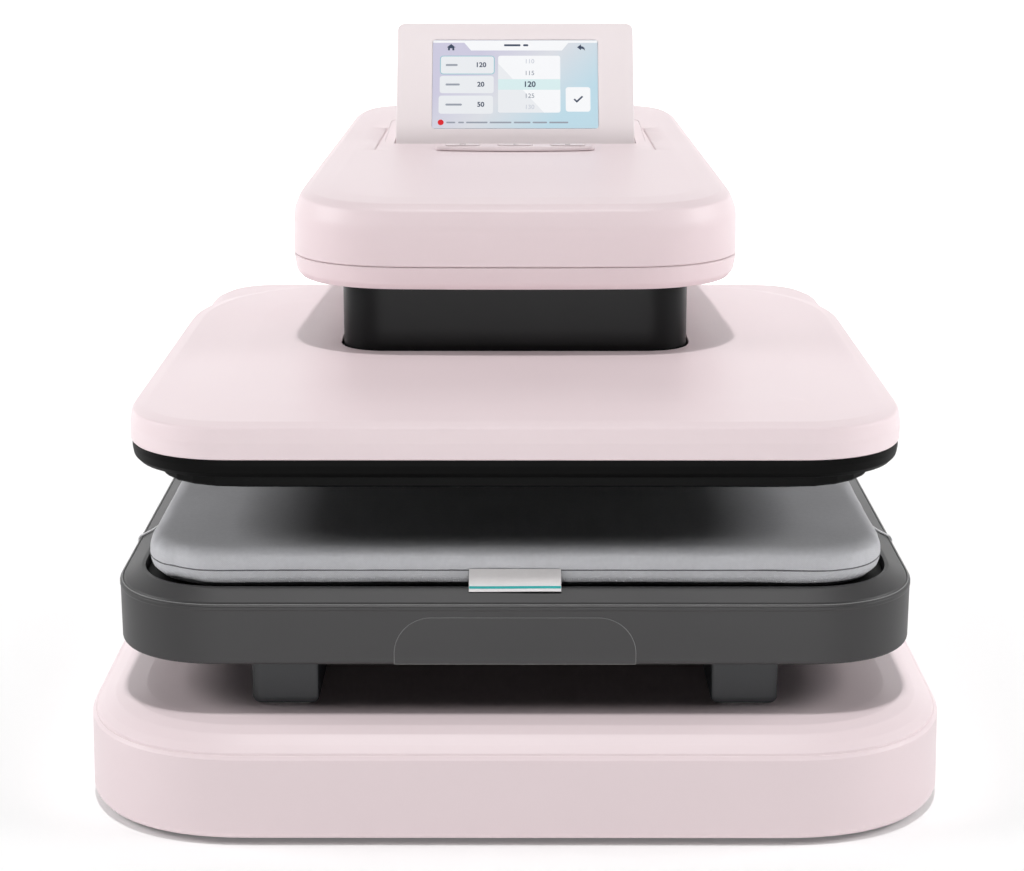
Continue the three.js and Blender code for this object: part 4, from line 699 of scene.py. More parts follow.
# %% Cutting helper
def evaluated_mesh(piece):
    """A piece's mesh with its modifiers applied."""
    bpy.context.view_layer.update()
    return bpy.data.meshes.new_from_object(piece.evaluated_get(bpy.context.evaluated_depsgraph_get()))


def cut(piece, cutter):
    """Cuts one mesh out of another, applies it and removes the cutter."""
    boolean = piece.modifiers.new("cut", "BOOLEAN")
    boolean.operation = "DIFFERENCE"
    boolean.solver = "EXACT"
    boolean.object = cutter
    piece.modifiers.move(len(piece.modifiers) - 1, 0)
    mesh = evaluated_mesh(piece)
    piece.modifiers.clear()
    piece.data = mesh
    bpy.data.objects.remove(cutter)
    return smooth(piece)


# %% Head openings
WELL_SLOT = 0.08 * MM
WELL_LIP = 5 * MM
SLOT_LENGTH = 82 * MM
SLOT_RADIUS = 0.9 * MM
SLOT_DEPTH = 2.2 * MM
SLOT_START = 18.9 * MM
SLOT_GAPS = (4.9 * MM, 1.4 * MM)
well_low, well_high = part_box("screen_well")
well_plan = Plan(well_high.x - WELL_LIP, well_low.y + WELL_LIP, well_high.y - WELL_LIP, 14 * MM, 14 * MM)
well_rings = [ring(well_plan, -WELL_SLOT, level) for level in (seam + 4 * MM, head_top + 30 * MM)]
cut(head_upper, head_hollow)
cut(head_upper, skin("well_opening", well_rings))
for side in (-1, 1):
    slot_front = Vector((side * (well_plan.half + SLOT_GAPS[0]), well_plan.front - SLOT_START))
    slot_rear = Vector((side * (well_plan.half + SLOT_GAPS[1]), slot_front.y + SLOT_LENGTH))
    heading = math.atan2(slot_rear.y - slot_front.y, slot_rear.x - slot_front.x)
    slot_edge = []
    for end, turn in ((slot_front, 90), (slot_rear, -90)):
        for step in range(9):
            angle = heading + math.radians(turn + 22.5 * step)
            slot_edge.append(end + Vector((math.cos(angle), math.sin(angle))) * SLOT_RADIUS)
    slot_rings = []
    for depth in (-SLOT_DEPTH, 6 * MM):
        levels = [head_top + head_slope * (p.y - lower_low.y) + depth for p in slot_edge]
        slot_rings.append([Vector((*p, z)) for p, z in zip(slot_edge, levels)])
    cut(head_upper, skin("side_slot", slot_rings))
dress(head_upper, "frame", "pink_plastic", pink, "head_upper_shell")
print("head's upper shell:", len(head_upper.data.polygons), "faces with its openings")

# %% [markdown]
# ## Screen
# The screen is a flat housing that turns on a pin at its lower edge. It is easiest to draw lying
# flat with the pin at the origin, and then to turn the whole drawing to its lean. The front has a
# shallow recess, into which the display's glass is laid.

# %% Screen housing
SCREEN_LEAN = 30
SCREEN_LENGTH = 92 * MM
SCREEN_HEEL = 5 * MM
SCREEN_FACE = 5.5 * MM
GLASS_TOP = 74.8 * MM
GLASS_LENGTH = 63.6 * MM
GLASS_GAP = 0.3 * MM
GLASS_EDGE = 0.25 * MM
GLASS_DEPTH = 2 * MM
screen_joint = next(joint for joint in frame["joints"] if joint["name"] == "screen_tilt")
upright = Matrix.Rotation(math.radians(90 - SCREEN_LEAN), 4, "X")
screen_place = Matrix.Translation(screen_joint["pos_m"]) @ upright
screen_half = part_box("screen_housing")[1].x
glass_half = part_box("display_glass")[1].x
screen_plan = Plan(screen_half, -SCREEN_HEEL, SCREEN_LENGTH - SCREEN_HEEL, 4 * MM, 5.5 * MM)
glass_plan = Plan(glass_half, GLASS_TOP - GLASS_LENGTH, GLASS_TOP, 2.5 * MM, 2.5 * MM)
screen_back = profile(-SCREEN_FACE, (20, 0, 0), (2.2, 0, 2), (0, 2.2, 2))
screen_front = profile(SCREEN_FACE, (0, 0, 0.8), (8, 0, 0))
screen_rings = casing_rings(screen_plan, screen_back + screen_front)
for inset, sunk in ((-GLASS_GAP - GLASS_EDGE, 0), (-GLASS_GAP, GLASS_EDGE),
                    (-GLASS_GAP, GLASS_DEPTH), (3 * MM, GLASS_DEPTH)):
    screen_rings.append(ring(glass_plan, inset, SCREEN_FACE - sunk))
screen_casing = skin("screen_casing", screen_rings, place=screen_place)
# The housing takes the lighter copy of the pink: painted light on its tilted face.
dress(screen_casing, "screen", "pink_plastic", screen_pink_painted_lighter, "screen_housing")
print("screen:", round(SCREEN_LENGTH * 1000), "mm long, glass", round(GLASS_LENGTH * 1000, 1), "mm")

# %% [markdown]
# ## Display
# The lit panel is a coloured picture behind glass. It is built from thin coloured plates, each a
# hair above the last, so that it stays sharp at any distance and needs no image. Their finish
# gives off a little light of its own and has a clear coat, which stands for the glass on top. The
# layout follows the photograph: a title tab, three cards, a number wheel and a key.

# %% Display finishes
DISPLAY_GLOW = 0.9
SKY_ACROSS = 7.5
SKY_DOWN = 9
SKY_LEVEL = 0.352
SKY = ((0.2, (0.64, 0.62, 0.77, 1)), (0.55, (0.74, 0.76, 0.81, 1)), (0.95, (0.54, 0.74, 0.84, 1)))


def sky(tree):
    """The background's colours: lavender at the upper left, turning to sky blue at the lower right."""
    place = node(tree, "ShaderNodeSeparateXYZ")
    tree.links.new(node(tree, "ShaderNodeTexCoord").outputs["Object"], place.inputs[0])
    across = maths(tree, "MULTIPLY", place.outputs["X"], SKY_ACROSS)
    down = maths(tree, "MULTIPLY", maths(tree, "SUBTRACT", SKY_LEVEL, place.outputs["Z"]), SKY_DOWN)
    ramp = node(tree, "ShaderNodeValToRGB")
    stops = ramp.color_ramp.elements
    stops.new(0.5)
    for stop, (position, colour) in zip(stops, SKY):
        stop.position = position
        stop.color = colour
    tree.links.new(maths(tree, "ADD", maths(tree, "ADD", across, down), 0.5), ramp.inputs[0])
    return ramp.outputs[0]


def lit(name, colour):
    """A self-lit display colour under a clear coat; a plain one is a little uneven, as a backlight is."""
    material, tree, shader = new_material(
        name, Roughness=0.35, Coat_Weight=0.6, Coat_Roughness=0.08, Emission_Strength=DISPLAY_GLOW)
    if callable(colour):
        shown = colour(tree)
    else:
        surface = grouped(tree, grain, {"Drift Scale": 30, "Tone Spread": 0.03})
        shown = tinted(tree, colour, surface["Tone"])
    tree.links.new(shown, shader["Emission Color"])
    tree.links.new(tinted(tree, shown, 0.08), shader["Base Color"])
    return material


display_sky = lit("display_sky", sky)
display_white = lit("display_white", (0.97, 0.98, 1.0))
display_pale = lit("display_pale", (0.86, 0.88, 0.91))
display_band = lit("display_band", (0.72, 0.89, 0.90))
display_teal = lit("display_teal", (0.22, 0.55, 0.62))
display_slate = lit("display_slate", (0.05, 0.07, 0.12))
display_grey = lit("display_grey", (0.33, 0.36, 0.42))
display_faint = lit("display_faint", (0.62, 0.65, 0.72))
display_red = lit("display_red", (0.75, 0.02, 0.03))
print("display finishes:", sum(1 for m in bpy.data.materials if m.name.startswith("display")))

# %% Display plates
PANEL_WIDTH = 2 * (glass_half - 0.1 * MM)
PANEL_HEIGHT = GLASS_LENGTH - 0.2 * MM
PANEL_TOP = GLASS_TOP - 0.1 * MM
PANEL_LEVEL = SCREEN_FACE - 0.30 * MM
LAYER = 0.05 * MM


def panel_point(across, down):
    """A place on the display, in millimetres from its upper left corner."""
    return Vector((across * MM - PANEL_WIDTH / 2, PANEL_TOP - down * MM))


def display_path(*places):
    return [panel_point(across, down) for across, down in places]


def plate(name, flat, layer, material, body="screen", place=screen_place, level=PANEL_LEVEL):
    """A thin plate of any outline on the display; the outline may be several closed loops."""
    loops = flat if isinstance(flat[0], list) else [flat]
    bm = bmesh.new()
    low = level + (layer - 1) * LAYER
    high = level + layer * LAYER
    for loop in loops:
        bottom, top = [[bm.verts.new((p.x, p.y, z)) for p in loop] for z in (low, high)]
        bm.faces.new(bottom)
        bm.faces.new(top)
        for i in range(len(loop)):
            j = (i + 1) % len(loop)
            bm.faces.new((bottom[i], bottom[j], top[j], top[i]))
    return dress(finished(name, bm, place), body, "display_glass", material)


def card(left, top, right, bottom, corner=1.6, grow=0.0):
    """A rounded rectangle on the display, in millimetres."""
    points = []
    centres = [(right - corner, top + corner, -90), (right - corner, bottom - corner, 0),
               (left + corner, bottom - corner, 90), (left + corner, top + corner, 180)]
    radius = (corner + grow) * MM
    for across, down, start in centres:
        centre = panel_point(across, down)
        for step in range(7):
            angle = math.radians(start + 15 * step)
            points.append(centre + Vector((math.cos(angle), -math.sin(angle))) * radius)
    return points


surround = skin("display_surround", [
    ring(glass_plan, 0, PANEL_LEVEL - 1.2 * MM),
    ring(glass_plan, 0, PANEL_LEVEL - LAYER),
], place=screen_place)
dress(surround, "screen", "display_glass", display_grey, "display_glass")
plate("display_panel", card(0, 0, PANEL_WIDTH / MM, PANEL_HEIGHT / MM, 0.8), 0.5, display_sky)
title_tab = display_path((0.2, 0.2), (109.6, 0.2), (109.6, 1.9), (90.4, 1.9),
                         (86.0, 7.5), (25.4, 7.5), (20.9, 1.9), (0.2, 1.9))
plate("display_title_tab", title_tab, 1, display_white)
title_bars = [card(47.4, 3.0, 58.4, 4.4, 0.6), card(60.2, 3.0, 63.6, 4.4, 0.6)]
plate("display_title", title_bars, 2, display_slate)
print("display panel:", round(PANEL_WIDTH * 1000, 1), "by", round(PANEL_HEIGHT * 1000, 1), "mm")

# %% Display cards
CARDS = ((5.3, 11.8, 40.7, 24.3), (4.7, 25.9, 40.6, 38.4), (4.1, 40.1, 40.2, 53.1))
plate("display_card_rim", card(*CARDS[0], 1.8, grow=0.45), 1, display_teal)
for index, card_sides in enumerate(CARDS):
    middle = (card_sides[1] + card_sides[3]) / 2
    label = card(8.6, middle - 0.7, 16.5 + index * 1.5, middle + 0.7, 0.6)
    plate(f"display_card_{index + 1}", card(*card_sides, 1.8), 1.5, display_pale)
    plate(f"display_label_{index + 1}", label, 2, display_grey)
plate("display_wheel", card(43.5, 11.3, 84.9, 52.3, 1.6), 1, display_white)
wheel_shade = display_path((43.5, 16.8), (74.0, 52.3), (45.0, 52.3), (43.5, 50.8))
plate("display_wheel_shade", wheel_shade, 1.3, display_pale)
plate("display_wheel_band", card(43.5, 28.3, 84.9, 35.9, 0.2), 1.6, display_band)
plate("display_key", card(88.4, 34.0, 104.8, 51.6, 1.8), 1, display_white)
tick = display_path((93.6, 43.0), (94.4, 42.2), (95.8, 43.6), (99.2, 40.2), (100.0, 41.0), (95.8, 45.2))
plate("display_tick", tick, 2, display_slate)
print("cards:", len(CARDS), "and a wheel and a key")

# %% Display icons
NOTE_BARS = ((9.3, 15.2), (17.2, 21.0), (22.4, 36.6), (38.0, 52.4), (54.0, 65.0), (66.4, 76.0),
             (77.4, 90.0))
DOT_SIDES = 24
house = display_path((12.1, 2.8), (15.0, 5.3), (14.2, 5.3), (14.2, 7.4), (12.9, 7.4), (12.9, 5.9),
                     (11.3, 5.9), (11.3, 7.4), (10.0, 7.4), (10.0, 5.3), (9.2, 5.3))
arrow = display_path((96.2, 5.2), (98.8, 3.1), (98.8, 4.4), (100.3, 4.8), (101.2, 5.9), (101.5, 7.7),
                     (100.4, 6.5), (98.8, 6.1), (98.8, 7.3))
turns = [step * 2 * math.pi / DOT_SIDES for step in range(DOT_SIDES)]
dot = display_path(*[(5.6 + 2.0 * math.cos(turn), 59.3 + 2.0 * math.sin(turn)) for turn in turns])
plate("display_home", house, 2, display_slate)
plate("display_back", arrow, 2, display_slate)
plate("display_dot", dot, 1.5, display_red)
note = [card(left, 58.8, right, 59.9, 0.5) for left, right in NOTE_BARS]
plate("display_note", note, 1.5, display_grey)
print("icons: home, back and a red dot, with", len(NOTE_BARS), "bars for a note")

# %% [markdown]
# ## Numbers on the display
# The wheel and the cards show plain numbers. A text object gives clean outlines at any size. It
# is turned into a mesh, so that it sits on the display's plane like the other plates.

# %% Numbers
FONT_SHARE = 1.4


def number(name, text, across, down, size, material, weight=0.0):
    """Plain digits as a thin mesh on the display; size is the height in millimetres."""
    curve = bpy.data.curves.new(name, "FONT")
    curve.body = text
    curve.size = size * MM * FONT_SHARE
    curve.align_x = "CENTER"
    curve.align_y = "CENTER"
    curve.offset = weight * MM
    curve.extrude = LAYER / 2
    written = link_mesh(name + "_text", curve)
    mesh = evaluated_mesh(written)
    bpy.data.objects.remove(written)
    spot = panel_point(across, down)
    mesh.transform(screen_place @ Matrix.Translation((spot.x, spot.y, PANEL_LEVEL + 2 * LAYER)))
    mesh.name = name
    return dress(link_mesh(name, mesh), "screen", "display_glass", material)


for index, (digits, card_sides) in enumerate(zip(("120", "20", "50"), CARDS)):
    middle = (card_sides[1] + card_sides[3]) / 2
    number(f"display_value_{index + 1}", digits, 32.0, middle, 3.4, display_slate, 0.12)
WHEEL = (("110", 15.5, 3.1, display_faint, 0.04), ("115", 24.0, 3.2, display_grey, 0.04),
         ("120", 32.1, 3.9, display_slate, 0.14), ("125", 40.4, 3.2, display_grey, 0.04),
         ("130", 48.4, 3.1, display_faint, 0.04))
for index, (digits, down, size, material, weight) in enumerate(WHEEL):
    number(f"display_wheel_{index + 1}", digits, 64.4, down, size, material, weight)

# %% [markdown]
# ## Pad
# The pad is foam in a grey cloth cover, and the cover is sewn from a top panel and a side band.
# A cloth simulation with a little pressure inside swells it and draws its cover into small, uneven
# puckers. The start shape is slightly thin, and no point may move far, so the pad keeps its place.

# %% Pad shape
PAD_CORNER = 46 * MM
pad_low, pad_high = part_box("press_pad")
pad_middle = (pad_low.y + pad_high.y) / 2
PAD_SEAM = pad_low.z + 11.4 * MM
pad_plan = plan_of("press_pad", PAD_CORNER, PAD_CORNER)
pad_foot = profile(pad_low.z, (60, 0, 0), (9, 0, 3))
pad_wall = profile(PAD_SEAM, (5, -7.5, 3), (0.4, -3, 2.5), (0.4, 2, 3))
pad_top = profile(pad_high.z, (1.2, -1.9, 1), (6, -0.3, 3), (90, -0.3, 0))
pad = skin("pad", casing_rings(pad_plan, pad_foot + pad_wall + pad_top))
pad.modifiers.clear()
print("pad:", round((pad_high.x - pad_low.x) * 1000), "mm wide, seam at", round(PAD_SEAM, 4), "m")

# %% Pad simulation
PAD_VOXEL = 4 * MM
PAD_CAP = 1.1 * MM
PAD_FRAMES = 20
PAD_PRESSURE = 4


def voxel(piece, size):
    """A new even mesh of the same shape."""
    remesh = piece.modifiers.new("even", "REMESH")
    remesh.mode = "VOXEL"
    remesh.voxel_size = size
    mesh = evaluated_mesh(piece)
    piece.modifiers.clear()
    piece.data = mesh


def swell(piece, pressure, cap, frames):
    """Runs a cloth with pressure inside, and keeps each point within cap of where it started."""
    start = [vertex.co.copy() for vertex in piece.data.vertices]
    cloth = piece.modifiers.new("swell", "CLOTH")
    cloth.settings.use_pressure = True
    cloth.settings.uniform_pressure_force = pressure
    cloth.settings.tension_stiffness = 12
    cloth.settings.compression_stiffness = 12
    cloth.settings.shear_stiffness = 4
    cloth.settings.bending_stiffness = 0.3
    cloth.settings.shrink_min = -0.03
    cloth.settings.effector_weights.gravity = 0
    for step in range(1, frames + 1):
        bpy.context.scene.frame_set(step)
    moved = evaluated_mesh(piece)
    for vertex, home in zip(moved.vertices, start):
        shift = vertex.co - home
        if shift.length > cap:
            shift *= cap / shift.length
        vertex.co = home + shift
    piece.modifiers.clear()
    piece.data = moved
    bpy.context.scene.frame_set(1)


voxel(pad, PAD_VOXEL)
swell(pad, PAD_PRESSURE, PAD_CAP, PAD_FRAMES)
print("pad cloth:", len(pad.data.vertices), "points")

# %% [markdown]
# ## Pad seam
# The remesh leaves no seam narrower than a voxel, so the sewn edge comes after it. Points near the
# seam's height are drawn in to a shallow groove, with small puckers along it, and the whole pad is
# kept inside the space that the tray leaves. Then a thin welt of darker cloth is laid where rays
# from outside meet the groove, so that it follows every pucker.

# %% Sewn groove and puckers
GROOVE = 0.9 * MM
GROOVE_REACH = 2.2 * MM
PUCKER = 0.28 * MM
PUCKER_REACH = 14 * MM
SIDE_REACH = 10 * MM


def nearest_inset(point):
    """How far a point lies inside the pad's soft-cornered outline, and which way is out."""
    across = abs(point.x) - (pad_plan.half - PAD_CORNER)
    along = abs(point.y - pad_middle) - (pad_high.y - pad_middle - PAD_CORNER)
    if across > 0 and along > 0:
        reach = (across ** CORNER_POWER + along ** CORNER_POWER) ** (1 / CORNER_POWER)
        outward = Vector((across, along)).normalized()
    else:
        reach = max(across, along)
        outward = Vector((1, 0)) if across > along else Vector((0, 1))
    way = Vector((math.copysign(outward.x, point.x), math.copysign(outward.y, point.y - pad_middle), 0))
    return PAD_CORNER - reach, way


for vertex in pad.data.vertices:
    place = vertex.co
    inset, way = nearest_inset(place)
    edge = max(0, 1 - max(0, inset) / PUCKER_REACH)
    near = math.exp(-((place.z - PAD_SEAM) / GROOVE_REACH) ** 2)
    pucker = noise.noise(Vector((place.x * 90, place.y * 90, place.z * 40))) * PUCKER
    if inset < SIDE_REACH:
        place -= way * near * GROOVE
        place += way * pucker * edge
    place.z += noise.noise(Vector((place.x * 60, place.y * 60, 0))) * PUCKER * edge
    for axis in range(3):
        place[axis] = min(pad_high[axis], max(pad_low[axis], place[axis]))
pad.data.update()
fine_pad = pad.modifiers.new("subdivide", "SUBSURF")
fine_pad.levels = 1
fine_pad.render_levels = 1
pad.data.shade_smooth()
pad_surface = evaluated_mesh(pad)
pad_faces = [face.vertices for face in pad_surface.polygons]
pad_tree = BVHTree.FromPolygons([vertex.co for vertex in pad_surface.vertices], pad_faces)
dress(pad, "drawer", "pad_fabric", pad_cloth, "press_pad")
print("pad:", len(pad_surface.polygons), "faces when subdivided")

# %% Welt in the groove
WELT_RADIUS = 0.44 * MM
WELT_SIDES = 8
seam_path = []
for point in ring(pad_plan, 0, PAD_SEAM):
    inset, way = nearest_inset(point)
    hit = pad_tree.ray_cast(point + way * 5 * MM, -way)[0]
    seam_path.append((hit or point) - way * WELT_RADIUS * 0.2)
welt = tube("pad_welt", seam_path, WELT_RADIUS, WELT_SIDES, closed=True)
dress(welt, "drawer", "pad_fabric", seam_cloth)
print("welt:", len(seam_path), "points round the pad")

# %% [markdown]
# ## Tag
# A short woven tape is folded double and caught in the front seam, and it hangs over the gap
# towards the rim. It is a thin doubled sheet with a slight curl, left bare but for a narrow
# stripe of colour woven along one edge.

# %% Tag
tag_low, tag_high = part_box("pad_tag")
TAG_STEPS = 12
TAG_COLUMNS = 16
TAG_THICK = 0.35 * MM
tag_top = Vector((0, tag_high.y - 0.2 * MM, tag_high.z - 0.2 * MM))
tag_end = Vector((0, tag_low.y + 0.4 * MM, tag_low.z + 0.4 * MM))


def tag_sheet(name, left, right, start, end, lift, material):
    """Part of the tag, between two shares of its length; it bows out a little and tilts."""
    bm = bmesh.new()
    normal = Vector((0, -(tag_top.z - tag_end.z), tag_top.y - tag_end.y)).normalized()
    normal = normal if normal.z > 0 else -normal
    grids = []
    for level in (lift, lift + TAG_THICK):
        grid = []
        for row in range(TAG_STEPS + 1):
            share = start + (end - start) * row / TAG_STEPS
            spot = tag_top.lerp(tag_end, share)
            line = []
            for column in range(TAG_COLUMNS + 1):
                x = left + (right - left) * column / TAG_COLUMNS
                curl = 0.5 * MM * math.sin(share * math.pi) + 0.25 * MM * math.sin(x * 90) * share
                line.append(bm.verts.new(Vector((x, spot.y, spot.z)) + normal * (level + curl)))
            grid.append(line)
        for near, far in zip(grid, grid[1:]):
            for a, b, c, d in zip(near, near[1:], far[1:], far):
                bm.faces.new((a, b, c, d))
        grids.append(grid)
    low, high = [
        grid[0][:-1] + [line[-1] for line in grid[:-1]]
        + grid[-1][:0:-1] + [line[0] for line in grid[:0:-1]]
        for grid in grids
    ]
    for a, b, c, d in zip(low, low[1:] + low[:1], high[1:] + high[:1], high):
        bm.faces.new((a, b, c, d))
    return dress(smooth(finished(name, bm)), "drawer", "tag_fabric", material)


tag = tag_sheet("tag", tag_low.x, tag_high.x, 0, 1, 0, tag_tape)
stripe_ends = (tag_low.x + 0.2 * MM, tag_high.x - 0.2 * MM)
stripe = tag_sheet("tag_stripe", *stripe_ends, 0.78, 0.88, TAG_THICK * 0.35, tag_stripe)
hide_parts("pad_tag")

# %% [markdown]
# ## Elastics
# Two thin elastics hold the cover down. Each leaves the pad's side, crosses the rim and runs down
# the tray's side to hook under it. It is a braided round cord pulled tight, so it lies close to
# every surface that it passes over.

# %% Elastics
ELASTIC_STEPS = 10
CORD = 0.65 * MM


def smooth_path(points, steps):
    """A Catmull-Rom curve through the points."""
    reach = [points[0] * 2 - points[1], *points, points[-1] * 2 - points[-2]]
    path = []
    for a, b, c, d in zip(reach, reach[1:], reach[2:], reach[3:]):
        for step in range(steps):
            t = step / steps
            path.append(0.5 * ((2 * b) + (c - a) * t + (2 * a - 5 * b + 4 * c - d) * t * t
                               + (3 * b - a - 3 * c + d) * t ** 3))
    path.append(points[-1])
    return path


rim_inner = tray_high.x - RIM_WIDTH
route = [
    (pad_high.x - 4.2 * MM, PAD_SEAM - 5.6 * MM),
    (pad_high.x - 1.0 * MM, tray_high.z + 1.2 * MM),
    (rim_inner + 2.2 * MM, tray_high.z + 0.2 * MM + CORD),
    (rim_inner + RIM_WIDTH / 2, tray_high.z - 2.7 * MM + CORD),
    (tray_high.x - 3 * MM, tray_high.z - 4.8 * MM + CORD),
    (tray_high.x - 0.6 * MM + CORD * 0.6, tray_high.z - 6.2 * MM + CORD * 0.8),
    (tray_high.x + CORD, tray_high.z - 9 * MM),
    (tray_high.x + CORD, (tray_low.z + tray_high.z) / 2),
    (tray_high.x + CORD, tray_low.z + 4 * MM),
    (tray_high.x - 0.2 * MM, tray_low.z - 0.4 * MM),
    (tray_high.x - 5 * MM, tray_low.z - CORD),
]
for side, hand in zip((-1, 1), HANDS):
    cord_low, cord_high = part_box(f"pad_elastic_{hand}")
    along = (cord_low.y + cord_high.y) / 2
    cord_path = smooth_path([Vector((side * x, along, z)) for x, z in route], ELASTIC_STEPS)
    elastic = tube(f"elastic_{hand}", cord_path, CORD, 10)
    dress(elastic, "drawer", "elastic", elastic_braid, f"pad_elastic_{hand}")
cord_length = sum((after - before).length for before, after in zip(cord_path, cord_path[1:]))
print("elastics:", round(cord_length * 1000), "mm each")

# %% [markdown]
# ## Runner housings
# Under the tray, each telescopic slide is covered by a dark channel with a closed, round-edged
# front. Its outline is drawn across the press and repeated from front to rear, a little smaller
# at the very front, so that the front edge is round.

# %% Runner housings
RUNNER_ROUND = 4 * MM
RUNNER_WALL = 2.5 * MM
NOSE = ((4, 0), (1.6, 0), (0.5, 0.5), (0, 1.6))


def runner_ring(low, high, inset, y):
    """An outline across the press: square above, rounded below."""
    middle = (low.x + high.x) / 2
    reach = (high.x - low.x) / 2 - inset
    floor_level = low.z + inset
    radius = max(RUNNER_ROUND - inset, 0.5 * MM)
    turns = [math.pi / 16 * step for step in range(9)]
    arc = [(radius * math.sin(turn), radius - radius * math.cos(turn)) for turn in turns]
    points = [(-reach, high.z)] + [(-reach + radius - x, floor_level + z) for x, z in arc[::-1]]
    points += [(reach - radius + x, floor_level + z) for x, z in arc] + [(reach, high.z)]
    return [Vector((middle + x, y, z)) for x, z in points]


for hand in HANDS:
    run_low, run_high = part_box(f"runner_housing_{hand}")
    rings = [runner_ring(run_low, run_high, inset * MM, run_low.y + back * MM) for inset, back in NOSE]
    rings.append(runner_ring(run_low, run_high, 0, run_high.y))
    housing = skin(f"runner_cover_{hand}", rings)
    sides = (run_low.x + RUNNER_WALL, run_high.x - RUNNER_WALL)
    levels = (run_low.z - 5 * MM, run_high.z - RUNNER_WALL)
    corners = [(sides[0], levels[0]), (sides[1], levels[0]), (sides[1], levels[1]), (sides[0], levels[1])]
    ends = (run_low.y + RUNNER_WALL, run_high.y + 5 * MM)
    cut(housing, skin(f"runner_trough_{hand}", [[Vector((x, y, z)) for x, z in corners] for y in ends]))
    dress(housing, "drawer", "black_plastic", runner_slate, f"runner_housing_{hand}")
print("runner housings are", round((run_high.y - run_low.y) * 1000), "mm long")

# %% [markdown]
# ## Key bar
# A low bar, bowed towards the front, frames three touch keys. In the photograph it looks soft and
# crowned, with no crisp edge, so its skin is lofted again with a rounder section, and the three
# key holes are cut through it with booleans, a little larger than the keys.

# %% Key bar
bar_low, bar_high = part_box("key_bar")
BAR_BOW = 4 * MM
KEY_GAP = 0.4 * MM
KEYS = ("key_left", "key_middle", "key_right")


def bar_bend(point):
    """Bows the bar's front edge."""
    share = min(1, abs(point.x) / bar_high.x)
    near_front = min(1, max(0, (bar_high.y - point.y) / (bar_high.y - bar_low.y)))
    return Vector((point.x, point.y + BAR_BOW * share * share * near_front))


bar_plan = Plan(bar_high.x, bar_low.y, bar_high.y, 5 * MM, LEAST_CORNER, bar_bend)
bar_points = profile(bar_low.z, (0.3, 0, 0), (0, 0.4, 0.3), (1.1, 1.7, 1.5), (2.6, 2.4, 2), (4.4, 2.6, 0))
key_bar = skin("key_bar_skin", casing_rings(bar_plan, bar_points, head_slope), degrees=60)
for name in KEYS:
    key_low, key_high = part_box(name)
    key_plan = Plan((key_high.x - key_low.x) / 2, key_low.y, key_high.y, 3 * MM, 3 * MM)
    hole_rings = [ring(key_plan, -KEY_GAP, level) for level in (bar_low.z - 2 * MM, bar_high.z + 3 * MM)]
    hole_place = Matrix.Translation(((key_low.x + key_high.x) / 2, 0, 0))
    cut(key_bar, skin("key_hole", hole_rings, place=hole_place))
dress(key_bar, "frame", "pink_plastic", pink, "key_bar")
print("key bar:", len(key_bar.data.polygons), "faces")

# %% [markdown]
# ## Key marks
# The low bar in front of the screen holds three touch keys. Each has a small plain mark: a ring,
# a triangle and a square, printed in grey. The marks are thin plates that ride on their keys.

# %% Key marks
MARK_SIDES = 28
mark_grey = finish("mark_grey", (0.30, 0.25, 0.26), 0.5, scale=1500, depth=0.002, spread=0.05)


def circle(radius, count, turn=0.0):
    turns = [turn + step * 2 * math.pi / count for step in range(count)]
    return [Vector((math.cos(a), math.sin(a))) * radius for a in turns]


outer = circle(2.2 * MM, MARK_SIDES)
inner = circle(1.6 * MM, MARK_SIDES)
ring_mark = [[outer[i - 1], outer[i], inner[i], inner[i - 1]] for i in range(MARK_SIDES)]
marks = (ring_mark, circle(2.3 * MM, 3), circle(2.3 * MM, 4, math.pi / 4))
for name, flat in zip(KEYS, marks):
    key_low, key_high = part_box(name)
    centre = (key_low + key_high) / 2
    mark_place = Matrix.Translation((centre.x, centre.y, key_high.z + 0.01 * MM))
    plate(f"{name}_mark", flat, 1, mark_grey, body=name, place=mark_place, level=0)
print("marks on", len(marks), "keys")

# %% [markdown]
# ## Imported pieces that keep their shape
# Feet, rails, the mast and its covers, the inlet, the drive and everything inside are right as
# they come from the imported model. They only need a real finish and smooth shading.

# %% Finishes for imported pieces
def both(*stems):
    return [f"{stem}_{hand}" for stem in stems for hand in HANDS]


KEPT = (
    (steel, ["base_plate", *both("rail_bearer"), "mast_frame", "head_beam", "nut_gear", "motor_pinion",
             "crosshead", "power_supply"]),
    (bright_steel, ["screen_hinge_pin", "thrust_bearing", "drive_motor", "lead_screw",
                    *both("guide_rod", "slide_outer", "slide_middle", "slide_inner")]),
    (brass, ["drive_nut", *both("guide_bush")]),
    (rubber, both("foot_front", "foot_rear")),
    (black_plastic, ["mast_cover_front", "power_inlet", "switch_bezel", "power_rocker"]),
    (pink, ["mast_cover_rear", "screen_well"]),
    (key_pink, KEYS),
    (column_grey, ["column_collar"]),
    (plate_coat, ["heat_plate", "lower_platen"]),
    (mica, ["heater_mat"]),
    (fibre, ["insulation_board"]),
    (board_green, ["control_board"]),
)
for material, names in KEPT:
    for name in names:
        piece = frame["nodes"][name]
        piece.data.materials.clear()
        piece.data.materials.append(material)
        smooth(piece)
print("packed pieces with a finish:", sum(len(names) for _, names in KEPT))

# %% [markdown]
# ## Floor
# The press stands on a plain pale sweep, as in a product photograph. The floor is one broad
# sheet that rises in a gentle curve far behind, so no horizon shows.

